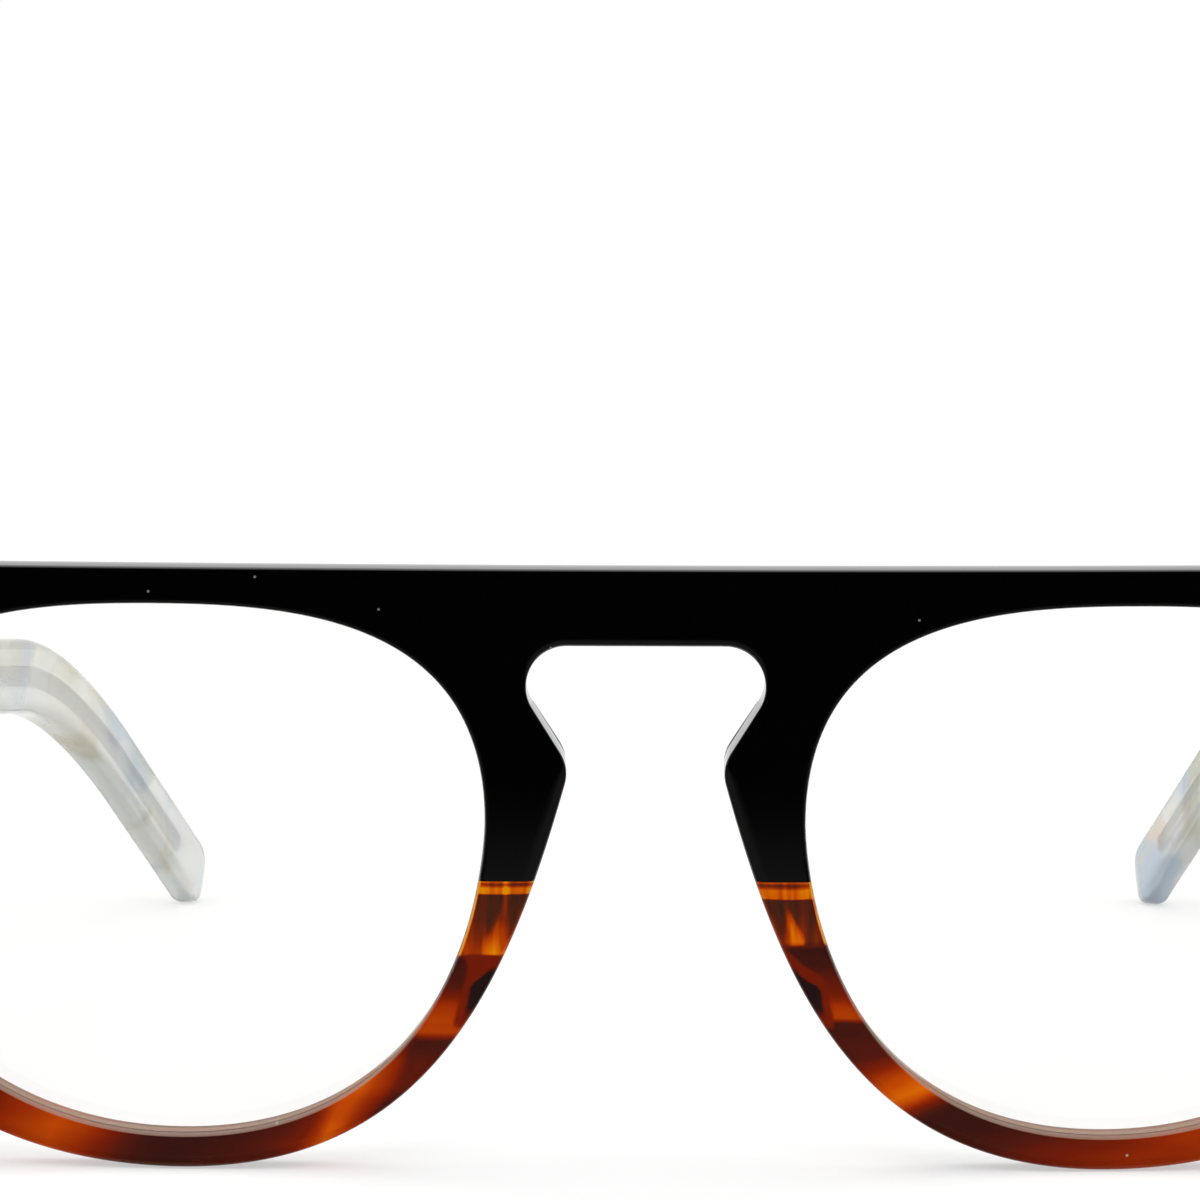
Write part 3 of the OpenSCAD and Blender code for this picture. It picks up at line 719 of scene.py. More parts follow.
def lens_rings():
    """Rings from the front face to the back one, each as growth, face (0 is the middle) and offset."""
    front_rings = [
        (-LENS_GAP - LENS_EDGE - SUPPORT, -1, 0.0),
        (-LENS_GAP - LENS_EDGE, -1, 0.0),
        (-LENS_GAP - 0.3 * LENS_EDGE, -1, 0.3 * LENS_EDGE),
        (-LENS_GAP, -1, LENS_EDGE),
        (-LENS_GAP, 0, LENS_CLEARANCE - GROOVE_WIDTH / 2),
    ]
    ridge = (GROOVE_DEPTH - 2 * LENS_CLEARANCE, 0, 0.0)
    back_rings = [(grow, -sign, -offset) for grow, sign, offset in front_rings[::-1]]
    return [*front_rings, ridge, *back_rings]


def build_lens(side_name):
    """A lens, and the numbers of the faces of its ground edge."""
    outline = opening_outline()
    normals = outwards(outline)
    lens = FrontMesh()
    rings = [
        lens.ring(outline, normals, grow, lens_face(sign), offset)
        for grow, sign, offset in lens_rings()
    ]
    lens.skin(rings, flip=True)
    lens.cap([rings[0]], lens_face(-1), flip=False, spacing=LENS_SPACING)
    lens.cap([rings[-1]], lens_face(1), flip=True, spacing=LENS_SPACING)
    vertices, faces = lens.for_side(SIDES[side_name])
    made = mesh_object("lens_clear_" + side_name, leaned(vertices), faces)
    first, last = rings[1][0], rings[-1][0]
    ground = [k for k, f in enumerate(faces) if len(f) == 4 and first <= min(f) and max(f) < last]
    return made, ground


# Nose pads, each a rounded fin on the back of an inner rim

PAD_ROWS = 80
PAD_COLUMNS = 40
PAD_PEAK = 1.08
PAD_ROUNDNESS = 0.75
PAD_FLANK_REACH = 3.0
PAD_EDGE = 0.06
PAD_SINK = 0.03
# Each row of a pad is an arc from 1 at the nose to -1 at the lens. Between these two places it
# turns steep, and its steep side is this much squarer across and backwards.
PAD_STEEP_CHANGE = (-0.2, 0.4)
PAD_SQUARENESS = (0.5, 0.45)
# The share of a pad's length that its blunt ends leave out
PAD_END = 0.004


def build_pad(side_name):
    side = SIDES[side_name]
    outline = front_outline()
    half = outline[: len(outline) // 2]
    nose = half[(half[:, 0] < LOWEST_X) & (half[:, 1] < KEYHOLE_TOP - KEYHOLE_RADIUS)]
    nose = nose[np.argsort(nose[:, 1])]
    opening = opening_outline()
    inner_edge = np.concatenate([opening[-CURVE_STEPS:], opening[:CURVE_STEPS]])
    inner_edge = inner_edge[np.argsort(inner_edge[:, 1])]
    bottom = NOSE_GAP_HEIGHT + PAD_RISE - PAD_LENGTH
    length = PAD_LENGTH + PAD_FLANK_REACH
    rows = []
    for k in range(PAD_ROWS + 1):
        share = PAD_END + (1 - 2 * PAD_END) * (0.5 - 0.5 * math.cos(math.pi * k / PAD_ROWS))
        height = bottom + length * share
        inner = np.interp(height, nose[:, 1], nose[:, 0]) + PAD_EDGE
        outer = np.interp(height, inner_edge[:, 1], inner_edge[:, 0]) - PAD_MARGIN
        middle, reach = (inner + outer) / 2, (outer - inner) / 2
        rise = PAD_DEPTH * math.sin(math.pi * share**PAD_PEAK) ** PAD_ROUNDNESS
        a = np.linspace(0, math.pi, PAD_COLUMNS + 1)
        c, s = np.cos(a), np.maximum(np.sin(a), 0)
        steep = smooth_step(ratio(c, *PAD_STEEP_CHANGE))
        x = middle - reach * np.sign(c) * np.abs(c) ** (1 - PAD_SQUARENESS[0] * steep)
        y = back_face(x, height) - PAD_SINK + rise * s ** (1 - PAD_SQUARENESS[1] * steep)
        rows.append(np.stack([x * side, y, np.full_like(x, height)], 1))
    faces = stacked_faces(PAD_ROWS + 1, PAD_COLUMNS + 1, flip=side == LEFT)
    return mesh_object("nose_pad_acetate_" + side_name, leaned(np.concatenate(rows)), faces)


# Temples

RING_POINTS = 56
# Rings round the bevel, and along the shaft, the bend, the tip and the tip's rounding
BUTT_RINGS = 6
SHAFT_RINGS = 60
BEND_RINGS = 40
TIP_RINGS = 12
END_RINGS = 22
BUTT_BEVEL = 0.3
# The first ring behind the bevel, and how far the rounding of the tip turns before its last ring
FIRST_STATION = 1.2
LAST_TURN = 1.5


def tip_rounding(s):
    return 1 if s < ROUND_START else math.sqrt(max(0, 1 - ((s - ROUND_START) / TIP_RADIUS) ** 2))


def half_height(s):
    if s < TAPER_LENGTH:
        return tip_rounding(s) / 2 * blend(BUTT_HEIGHT, SHAFT_HEIGHT, s / TAPER_LENGTH)
    share = (s - BEND_START) / (ROUND_START - BEND_START)
    return tip_rounding(s) / 2 * blend(SHAFT_HEIGHT, TIP_HEIGHT, share)


def half_thickness(s):
    return tip_rounding(s) / 2 * blend(TEMPLE_THICKNESS, TIP_THICKNESS, (s - TAPER_LENGTH) / BEND_START)


def temple_ring(s, shrink=0.0):
    out = path_out(s)
    up = np.cross(out, path_direction(s))
    a = 2 * math.pi * (np.arange(RING_POINTS) + 0.5) / RING_POINTS
    power = 2 / SQUARENESS
    c = np.sign(np.cos(a)) * np.abs(np.cos(a)) ** power
    h = np.sign(np.sin(a)) * np.abs(np.sin(a)) ** power
    wide, high = max(half_thickness(s) - shrink, 1e-3), max(half_height(s) - shrink, 1e-3)
    return path_point(s) + (wide * c)[:, None] * out + (high * h)[:, None] * up


def temple_to_world(points, side):
    """Points along a temple, in the shared frame and in metres."""
    p = np.asarray(points, float).reshape(-1, 3)
    c, s = math.cos(TEMPLE_SLOPE), math.sin(TEMPLE_SLOPE)
    x = p[:, 0] + TEMPLE_FACE + TEMPLE_THICKNESS / 2
    y = p[:, 1] * c + p[:, 2] * s
    z = -p[:, 1] * s + p[:, 2] * c + HINGE_HEIGHT
    turn = TOE_IN + (LEFT_TURN if side == LEFT else 0)
    c, s = math.cos(turn), math.sin(turn)
    world_x = HINGE_X + c * x - s * y
    world_y = HINGE_Y + s * x + c * y - ORIGIN_Y
    return np.stack([world_x * side, world_y, z], 1) * MM


def butt_ring(shrink, back):
    """A ring of the flat front end, which stands upright though the temple slopes."""
    ring = temple_ring(0, shrink)
    ring[:, 1] = (JOINT_GAP + back - ring[:, 2] * math.sin(TEMPLE_SLOPE)) / math.cos(TEMPLE_SLOPE)
    return ring


def build_temple(side_name):
    side = SIDES[side_name]
    rings = []
    for a in np.linspace(0, math.pi / 2, BUTT_RINGS):
        rings.append(butt_ring(BUTT_BEVEL * (1 - math.sin(a)), BUTT_BEVEL * (1 - math.cos(a))))
    stations = [
        *np.linspace(FIRST_STATION, BEND_START, SHAFT_RINGS),
        *np.linspace(BEND_START, BEND_END, BEND_RINGS)[1:],
        *np.linspace(BEND_END, ROUND_START, TIP_RINGS)[1:],
        *(ROUND_START + TIP_RADIUS * np.sin(np.linspace(0, LAST_TURN, END_RINGS)[1:])),
    ]
    rings += [temple_ring(s) for s in stations]
    tip = np.array(path_point(TEMPLE_LENGTH))
    rings.append(tip + 0.001 * (rings[-1] - tip))
    faces = stacked_faces(len(rings), RING_POINTS, flip=side == LEFT)
    made = mesh_object("temple_acetate_" + side_name, temple_to_world(np.concatenate(rings), side), faces)
    bm = bmesh.new()
    bm.from_mesh(made.data)
    bmesh.ops.recalc_face_normals(bm, faces=bm.faces[:])
    bm.to_mesh(made.data)
    bm.free()
    return made


# Materials

ACETATE_IOR = 1.49
LENS_IOR = 1.5
# How deep the faint unevenness of polished and ground faces is, in metres
POLISH_DEPTH = 0.00001


class Nodes:
    """A short way to build the nodes of a material or of the world."""

    def __init__(self, owner, shader="Principled BSDF", **values):
        owner.use_nodes = True
        self.tree = owner.node_tree
        self.shader = self.tree.nodes[shader]
        coordinates = self.add("ShaderNodeTexCoord")
        self.place = coordinates.outputs["Object"]
        self.facing = coordinates.outputs["Normal"]
        self.set(**values)

    def feed(self, value, socket):
        """Puts a number, a colour or another node's output into a socket."""
        if isinstance(value, bpy.types.NodeSocket):
            self.tree.links.new(value, socket)
        elif socket.type == "RGBA":
            socket.default_value = (*value[:3], 1)
        else:
            socket.default_value = value

    def add(self, kind, inputs=(), **settings):
        """A new node with its settings, and with inputs given by name or number."""
        node = self.tree.nodes.new(kind)
        for key, value in settings.items():
            setattr(node, key, value)
        for key, value in dict(inputs).items():
            self.feed(value, node.inputs[key])
        return node

    def set(self, **values):
        for key, value in values.items():
            self.feed(value, self.shader.inputs[key.replace("_", " ")])

    def math(self, operation, first, *others, clamp=False):
        """Works on the first two values, then on the result and each further one."""
        result = first
        for other in others or (0.0,):
            node = self.add("ShaderNodeMath", {0: result, 1: other}, operation=operation)
            node.use_clamp = clamp
            result = node.outputs[0]
        return result

    def times(self, *values):
        return self.math("MULTIPLY", *values)

    def plus(self, *values, clamp=False):
        return self.math("ADD", *values, clamp=clamp)

    def minus(self, a, b):
        return self.math("SUBTRACT", a, b)

    def parts(self, vector):
        """The X, Y and Z of a vector."""
        node = self.add("ShaderNodeSeparateXYZ", {0: vector})
        return [node.outputs[axis] for axis in "XYZ"]

    def noise(self, scale, detail, place=None, distortion=0.0):
        inputs = {"Scale": scale, "Detail": detail, "Distortion": distortion, "Vector": place or self.place}
        return self.add("ShaderNodeTexNoise", inputs).outputs["Fac"]

    def stretched(self, scale, turn=(0, 0, 0)):
        inputs = {"Vector": self.place, "Scale": scale, "Rotation": turn}
        return self.add("ShaderNodeMapping", inputs).outputs["Vector"]

    def between(self, value, low, high, to_low=0.0, to_high=1.0, kind="SMOOTHSTEP"):
        """Runs from one number to another while the value runs from low to high."""
        inputs = {"Value": value, "From Min": low, "From Max": high, "To Min": to_low, "To Max": to_high}
        return self.add("ShaderNodeMapRange", inputs, interpolation_type=kind).outputs["Result"]

    def mix(self, factor, a, b):
        return self.add("ShaderNodeMix", {0: factor, 6: a, 7: b}, data_type="RGBA").outputs[2]

    def ramp(self, value, stops):
        """Colours given at shares from 0 to 1, joined by straight lines."""
        node = self.add("ShaderNodeValToRGB", {"Fac": value})
        node.color_ramp.interpolation = "LINEAR"
        elements = node.color_ramp.elements
        while len(elements) < len(stops):
            elements.new(0.5)
        for element, (share, colour) in zip(elements, stops):
            element.position = share
            element.color = (*colour, 1)
        return node.outputs["Color"]

    def lengths(self, value, stops, low, high):
        """Numbers given at lengths between low and high, joined by straight lines."""
        shares = [((length - low) / (high - low), (number,) * 3) for length, number in stops]
        return self.ramp(self.between(value, low, high, kind="LINEAR"), shares)

    def bump(self, height, strength, distance):
        node = self.add("ShaderNodeBump", {"Strength": strength, "Distance": distance, "Height": height})
        self.set(Normal=node.outputs["Normal"])

    def dust(self):
        """1 on a few specks of dust, less than a tenth of a millimetre wide, and 0 elsewhere."""
        x, _, z = self.parts(self.place)
        flat = self.add("ShaderNodeCombineXYZ", {"X": x, "Y": z}).outputs[0]
        inputs = {"Scale": 130, "Vector": flat}
        specks = self.add("ShaderNodeTexVoronoi", inputs, feature="F1", voronoi_dimensions="2D")
        dot = self.between(specks.outputs["Distance"], 0.008, 0.016, 1.0, 0.0)
        some = self.between(self.noise(120, 1), 0.5, 0.55)
        return self.times(dot, some)

    def seen(self):
        """1 for light on its way to the camera, straight, mirrored or through a lens, and 0 otherwise."""
        path = self.add("ShaderNodeLightPath").outputs
        return self.math("MAXIMUM", path["Is Camera Ray"], path["Is Glossy Ray"], path["Is Transmission Ray"])

    def front_place(self, side_name):
        """Distance from the middle of the front, and height, in millimetres."""
        x, _, z = self.parts(self.place)
        return self.times(x, SIDES[side_name] / MM), self.times(z, 1 / MM)


def material_nodes(name, **values):
    """A new material, and the nodes that it is built from."""
    material = bpy.data.materials.new(name)
    return material, Nodes(material, **values)


def polish(nodes, low=0.03, high=0.09, matt=0.0):
    """Faint unevenness of a hand-polished surface: its gloss varies, with hairline scratches."""
    clouds = nodes.noise(90, 4)
    hairlines = nodes.noise(260, 2, place=nodes.stretched((1, 1, 14)))
    gloss = nodes.between(clouds, 0.35, 0.7, low, high)
    scratches = nodes.between(hairlines, 0.62, 0.72, 0.0, 0.03)
    nodes.set(Roughness=nodes.plus(gloss, scratches, matt))
    nodes.bump(nodes.noise(500, 2), 0.12, POLISH_DEPTH)


BLACK = (0.0007, 0.0007, 0.0008)
DUST_ON_BLACK = (0.16, 0.16, 0.16)


def black_acetate():
    material, nodes = material_nodes("black_acetate", IOR=ACETATE_IOR)
    nodes.set(Base_Color=nodes.mix(nodes.dust(), BLACK, DUST_ON_BLACK))
    polish(nodes)
    return material


# The tortoise sheet: layers across its height, each dark above and glowing below.
# Warmth runs from 0, nearly black, to 1, gold.

WARMTH_COLOURS = [
    (0.0, (0.029, 0.0062, 0.0062)), (0.1, (0.05, 0.0076, 0.006)), (0.22, (0.105, 0.01, 0.005)),
    (0.34, (0.225, 0.013, 0.0018)), (0.45, (0.36, 0.025, 0.0005)), (0.55, (0.48, 0.047, 0.0005)),
    (0.7, (0.68, 0.083, 0.0005)), (0.84, (0.9, 0.178, 0.0005)), (1.0, (1.0, 0.36, 0.001)),
]
# Heights up the front, in millimetres, with the warmth there
SIDE_RANGE = (8.0, 21.5)
SIDE_WARMTH = {
    "left": [
        (9.55, 0.18), (10.3, 0.64), (11.2, 0.59), (12.4, 0.42), (13.6, 0.2), (15.6, 0.14), (16.15, 0.44),
        (17.3, 0.3), (18.5, 0.18), (20.4, 0.14), (20.5, 0.8), (20.9, 0.84), (21.12, 0.4), (21.22, 0.34),
        (21.32, 0.66), (21.4, 0.7),
    ],
    "right": [
        (11.0, 0.17), (11.45, 0.62), (12.4, 0.52), (13.6, 0.3), (14.9, 0.16), (16.5, 0.07), (17.1, 0.44),
        (18.2, 0.36), (19.2, 0.22), (20.1, 0.15), (20.2, 0.76), (20.8, 0.8), (21.08, 0.4), (21.2, 0.34),
        (21.32, 0.62), (21.4, 0.66),
    ],
}
# Distances across the front, along the bottom of a rim, where the layers stand on edge
BOTTOM_RANGE = (-10.0, 60.0)
BOTTOM_WARMTH = {
    "left": [
        (20.0, 0.22), (21.1, 0.2), (21.6, 0.36), (22.8, 0.52), (23.6, 0.7), (24.4, 0.73), (25.3, 0.46),
        (26.1, 0.31), (27.2, 0.24), (30.0, 0.13), (34.5, 0.07), (37.2, 0.13), (38.6, 0.25), (40.0, 0.37),
        (42.0, 0.52), (44.2, 0.65), (46.5, 0.52), (49.0, 0.36), (54.0, 0.14), (60.0, 0.5),
    ],
    "right": [
        (-8.0, 0.16), (-3.0, 0.19), (0.0, 0.24), (2.0, 0.36), (4.4, 0.64), (7.5, 0.86), (8.7, 0.78),
        (10.0, 0.47), (12.5, 0.16), (14.5, 0.13), (18.5, 0.11), (22.0, 0.15), (25.0, 0.23), (28.5, 0.31),
        (34.0, 0.45), (40.0, 0.5), (46.0, 0.15), (52.0, 0.4),
    ],
}
# How far those layers lean sideways for each millimetre of height
BOTTOM_SLANT = {"left": 0.5, "right": -2.0}
# A flame stands on the foot of a layer: its height there, distance from the middle and half width
FLAME_FOOT = {"left": (15.9, 10.75, 1.3), "right": (16.8, 11.0, 0.75)}
FLAME_TIP = (20.3, 10.05, 0.25)
# The nose edge's distance from the middle, at the table, and its change with height
NOSE_EDGE_START = 20.087
NOSE_EDGE_LEAN = -0.608
# How far the painted dark shade of the nose pad behind the rim, and the painted red glow round it, reach from
# the nose edge at a height
PAD_RANGE = (10.0, 17.0)
PAD_PAINTED_SHADE = {
    "left": [(11.6, 0.0), (12.8, 0.4), (13.7, 0.8), (14.0, 0.78), (14.5, 0.42), (15.4, 0.0)],
    "right": [(11.4, 0.0), (12.6, 0.45), (13.4, 0.85), (13.8, 0.8), (14.1, 0.35), (14.6, 0.0)],
}
PAD_PAINTED_GLOW = {
    "left": [(10.4, 0.0), (11.2, 0.45), (13.9, 1.35), (15.0, 1.8), (16.0, 2.6)],
    "right": [(10.4, 0.0), (11.2, 0.45), (13.6, 1.35), (14.6, 1.5), (15.3, 0.7), (16.5, 0.2)],
}
PAD_PAINTED_GLOW_WARMTH = 0.33
PAD_PAINTED_SHADE_COLOUR = (0.017, 0.007, 0.0085)
OLIVE_BROWN = (0.078, 0.028, 0.012)
# Painted light on the upward-facing wall that the lens stands on
PAINTED_LEDGE_LIGHT = (0.40, 0.27, 0.21)
DUST_ON_TORTOISE = (0.5, 0.45, 0.4)
AMBER_SHINE = (1.0, 0.55, 0.3)


def layers(nodes, side_name, x, z):
    """The warmth of the layers, and the height in the slightly swaying sheet."""
    sway = nodes.minus(nodes.noise(200, 1), 0.5)
    height = nodes.plus(z, nodes.times(sway, 0.4))
    side = nodes.lengths(height, SIDE_WARMTH[side_name], *SIDE_RANGE)
    across = nodes.plus(x, nodes.times(z, BOTTOM_SLANT[side_name]), nodes.times(sway, 1.6))
    bottom = nodes.lengths(across, BOTTOM_WARMTH[side_name], *BOTTOM_RANGE)
    end = SIDE_WARMTH[side_name][0][0]
    return nodes.mix(nodes.between(height, end, end + 0.1), bottom, side), height


def streaks(nodes, side_name, is_upper):
    """Streaks and finer threads: upright above the flame's foot, and along the rim below it."""
    side = SIDES[side_name]
    upright = nodes.noise(330, 2, place=nodes.stretched((1, 1, 0.22), (0, 0.22 * side, 0)))
    threads = nodes.noise(1700, 3, place=nodes.stretched((1, 1, 0.05), (0, 0.15 * side, 0)))
    level = nodes.noise(330, 2, place=nodes.stretched((0.14, 1, 1)))
    streak = nodes.minus(nodes.mix(is_upper, level, upright), 0.5)
    streak = nodes.times(streak, nodes.between(is_upper, 0.0, 1.0, 0.35, 0.6))
    return nodes.plus(streak, nodes.times(nodes.minus(threads, 0.5), is_upper, 0.65))


def flame(nodes, side_name, x, height, is_upper):
    foot, foot_x, foot_half = FLAME_FOOT[side_name]
    tip, tip_x, tip_half = FLAME_TIP
    aside = nodes.minus(x, nodes.between(height, foot, tip, foot_x, tip_x))
    half = nodes.between(height, foot, tip, foot_half, tip_half)
    aside = nodes.math("DIVIDE", nodes.math("ABSOLUTE", aside), half)
    strength = nodes.between(height, foot, tip, 0.46, 0.18)
    return nodes.times(nodes.between(aside, 0.2, 1.0, 1.0, 0.0), is_upper, strength)


def painted_edge_glow(nodes, from_nose, facing_y, is_upper):
    """Painted light: thin edges of the upper layers are painted warmer, as if lit through from behind, most
    of all beside the lens.
    """
    turned = nodes.between(nodes.math("ABSOLUTE", facing_y), 0.8, 0.985, 1.0, 0.0)
    return nodes.times(turned, nodes.between(from_nose, 0.8, 2.0, 0.15, 0.7), is_upper)


def pad_reach(nodes, from_nose, height, stops, low, high):
    """1 on the part of a rim that the pad's painted shade or painted glow reaches."""
    past = nodes.minus(from_nose, nodes.lengths(height, stops, *PAD_RANGE))
    return nodes.between(past, low, high, 1.0, 0.0)


def tortoise(side_name):
    material, nodes = material_nodes(
        "tortoise_acetate_" + side_name,
        IOR=ACETATE_IOR, Specular_IOR_Level=0.3, Specular_Tint=AMBER_SHINE, Transmission_Weight=0.3,
    )
    x, z = nodes.front_place(side_name)
    warmth, height = layers(nodes, side_name, x, z)
    foot = FLAME_FOOT[side_name][0]
    is_upper = nodes.between(height, foot - 0.1, foot + 0.15)
    from_nose = nodes.minus(nodes.plus(x, nodes.times(z, -NOSE_EDGE_LEAN)), NOSE_EDGE_START)
    _, facing_y, facing_z = nodes.parts(nodes.facing)
    # the layers' own streaks and flame, plus painted light on the thin edges
    warmth = nodes.plus(
        warmth,
        streaks(nodes, side_name, is_upper),
        flame(nodes, side_name, x, height, is_upper),
        painted_edge_glow(nodes, from_nose, facing_y, is_upper),
    )

    # painted light and shade: the pad behind the rim, as a painted red glow round a painted dark shade
    glow = pad_reach(nodes, from_nose, height, PAD_PAINTED_GLOW[side_name], -0.25, 0.15)
    glow = nodes.times(glow, nodes.between(z, 10.4, 10.9), nodes.minus(1.0, is_upper))
    warmth = nodes.plus(warmth, nodes.times(nodes.minus(PAD_PAINTED_GLOW_WARMTH, warmth), glow), clamp=True)
    brown = nodes.times(nodes.between(warmth, 0.3, 0.6, 0.45, 0.0), is_upper)
    colour = nodes.mix(brown, nodes.ramp(warmth, WARMTH_COLOURS), OLIVE_BROWN)
    # painted shade where the pad stands behind the rim
    pad_painted_shade = pad_reach(nodes, from_nose, height, PAD_PAINTED_SHADE[side_name], -0.25, 0.1)
    pad_painted_shade = nodes.times(pad_painted_shade, nodes.between(z, 11.0, 12.2), nodes.between(z, 14.6, 15.4, 1.0, 0.0))
    colour = nodes.mix(pad_painted_shade, colour, PAD_PAINTED_SHADE_COLOUR)

    # the wall that the lens stands on is left matt, and where it faces up it is painted a pale tan: painted
    # light from above
    matt_ledge_with_painted_light = nodes.between(facing_z, 0.3, 0.7)
    colour = nodes.mix(nodes.times(matt_ledge_with_painted_light, 0.7), colour, PAINTED_LEDGE_LIGHT)
    nodes.set(Base_Color=nodes.mix(nodes.dust(), colour, DUST_ON_TORTOISE))
    polish(nodes, matt=nodes.times(matt_ledge_with_painted_light, 0.4))
    return material


# The temples: pale crystal acetate with soft clouds of colour

CRYSTAL = (0.88, 0.89, 0.85)
STEEL_BLUE = (0.36, 0.50, 0.66)
OLIVE = (0.50, 0.46, 0.22)
TAN = (0.72, 0.55, 0.36)
# From here back the tips of the temples are mostly blue
TIP_START = 0.058
TIP_FADE = 0.008


def temple_acetate():
    material, nodes = material_nodes("temple_acetate", IOR=ACETATE_IOR, Transmission_Weight=0.6)
    _, back, _ = nodes.parts(nodes.place)
    tipward = nodes.between(back, TIP_START, TIP_START + TIP_FADE, -0.05, 0.2)
    blue_or_olive = nodes.between(nodes.plus(nodes.noise(52, 1), tipward), 0.58, 0.42)
    colour = nodes.mix(blue_or_olive, STEEL_BLUE, OLIVE)
    colour = nodes.mix(nodes.between(nodes.noise(75, 2, distortion=0.5), 0.54, 0.68), colour, TAN)
    clouds = nodes.noise(110, 3, place=nodes.stretched((1, 0.5, 1)), distortion=1.2)
    nodes.set(Base_Color=nodes.mix(nodes.between(clouds, 0.38, 0.6, 0.25, 0.9), colour, CRYSTAL))
    polish(nodes, 0.1, 0.2)
    return material


LENS_TINT = (1.0, 0.998, 0.985)
LENS_SHADOW_TINT = (0.97, 0.97, 0.96)
# Painted light on a lens's ground edge: tan as if lit through the lower rims, dark as if shaded in the black
# brow
GROUND_EDGE_LIT_BY_RIM = (0.36, 0.24, 0.185)
GROUND_EDGE_LIT_BY_RIM_PALE = (0.46, 0.32, 0.25)
GROUND_EDGE_SHADED_IN_BROW = (0.06, 0.06, 0.065)


def clear_lens():
    """Clear plastic. Shadow rays and diffuse rays pass straight through it."""
    material, nodes = material_nodes(
        "clear_lens", IOR=LENS_IOR, Transmission_Weight=1.0, Roughness=0.0, Base_Color=LENS_TINT,
    )
    through = nodes.add("ShaderNodeBsdfTransparent", {"Color": LENS_SHADOW_TINT})
    path = nodes.add("ShaderNodeLightPath").outputs
    passing = nodes.math("MAXIMUM", path["Is Shadow Ray"], path["Is Diffuse Ray"])
    surfaces = {0: passing, 1: nodes.shader.outputs[0], 2: through.outputs[0]}
    mixed = nodes.add("ShaderNodeMixShader", surfaces)
    nodes.feed(mixed.outputs[0], nodes.tree.nodes["Material Output"].inputs["Surface"])
    return material


def ground_lens_edge():
    """A lens's matt ground edge, painted with the rim's light: tan as if lit through a lower rim, dark as if
    shaded in the brow.
    """
    material, nodes = material_nodes("ground_lens_edge", IOR=LENS_IOR, Specular_IOR_Level=0.1)
    grain = nodes.noise(2500, 3)
    _, height = nodes.front_place("right")
    is_upper = nodes.between(height, SEAM_HEIGHT - 0.2, SEAM_HEIGHT + 0.2)
    lower = nodes.mix(grain, GROUND_EDGE_LIT_BY_RIM, GROUND_EDGE_LIT_BY_RIM_PALE)
    nodes.set(
        Base_Color=nodes.mix(is_upper, lower, GROUND_EDGE_SHADED_IN_BROW),
        Roughness=nodes.between(grain, 0.3, 0.7, 0.45, 0.65),
    )
    nodes.bump(grain, 0.2, POLISH_DEPTH)
    return material


def metal(name, colour, low, high, stretch):
    """Satin metal with fine brush lines and a little tarnish."""
    material, nodes = material_nodes(name, Metallic=1.0)
    lines = nodes.noise(1600, 2, place=nodes.stretched(stretch))
    stain = nodes.between(nodes.noise(180, 2), 0.45, 0.8)
    tarnished = tuple(0.82 * c for c in colour)
    nodes.set(
        Base_Color=nodes.mix(stain, colour, tarnished),
        Roughness=nodes.between(lines, 0.3, 0.7, low, high),
    )
    nodes.bump(lines, 0.12, 0.6 * POLISH_DEPTH)
    return material


def dress(piece, materials):
    piece.data.materials.clear()
    for material in materials:
        piece.data.materials.append(material)


EDGE_BREAK = 0.00007
WELD_DISTANCE = 1e-6
SHARP_ANGLE = math.radians(40)


def dress_node(name, material):
    """Gives a carried-over solid its material and lightly broken edges."""
    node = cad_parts[name]
    for slot in node.material_slots:
        slot.material = material
    if not node.material_slots:
        node.data.materials.append(material)
    weld = node.modifiers.new("weld", "WELD")
    weld.merge_threshold = WELD_DISTANCE
    bevel = node.modifiers.new("edges", "BEVEL")
    bevel.width = EDGE_BREAK
    bevel.segments = 2
    bevel.limit_method = "ANGLE"
    bevel.angle_limit = SHARP_ANGLE
    bevel.harden_normals = False


# The object

def add_piece(piece, materials, body, node):
    """Gives a piece its materials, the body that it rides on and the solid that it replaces."""
    dress(piece, materials)
    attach(piece, body)
    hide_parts(node)


front = build_front()
black = black_acetate()
lens_materials = [clear_lens(), ground_lens_edge()]
temple_material = temple_acetate()
add_piece(front["upper"], [black], "front", "front_upper")
for side_name in SIDES:
    tortoise_material = tortoise(side_name)
    add_piece(front[side_name], [tortoise_material], "front", "lower_rim_" + side_name)
    lens, ground_faces = build_lens(side_name)
    add_piece(lens, lens_materials, "front", "lens_" + side_name)
    for k in ground_faces:
        lens.data.polygons[k].material_index = 1
    pad = build_pad(side_name)
    add_piece(pad, [black], "front", "nose_pad_" + side_name)
    temple = build_temple(side_name)
    body = f"temple_{side_name}_body"
    add_piece(temple, [temple_material], body, "temple_" + side_name)

hinge_material = metal("hinge_metal", (0.66, 0.65, 0.62), 0.2, 0.3, (1, 1, 8))
core_material = metal("core_metal", (0.62, 0.62, 0.64), 0.22, 0.34, (8, 1, 8))
for side_name in SIDES:
    for kind in ("front_hinge", "front_rivets", "hinge_screw", "temple_hinge", "temple_rivets"):
        dress_node(f"{kind}_{side_name}", hinge_material)
    dress_node("temple_core_" + side_name, core_material)


# Floor, lights and camera, in metres

WHITE = (1, 1, 1)
PAPER = (0.82, 0.82, 0.82)
SEEN_PAPER = (0.48, 0.48, 0.48)
FLOOR_GLOW = 0.51
FAR_FLOOR_GLOW = 0.8
FLOOR_GLOW_CHANGE = (0.1, 1.6)
FLOOR_SIZE = 4
# About as deep as the object's lowest points
FLOOR_LEVEL = -0.00004
WORLD_LIGHT = 0.5


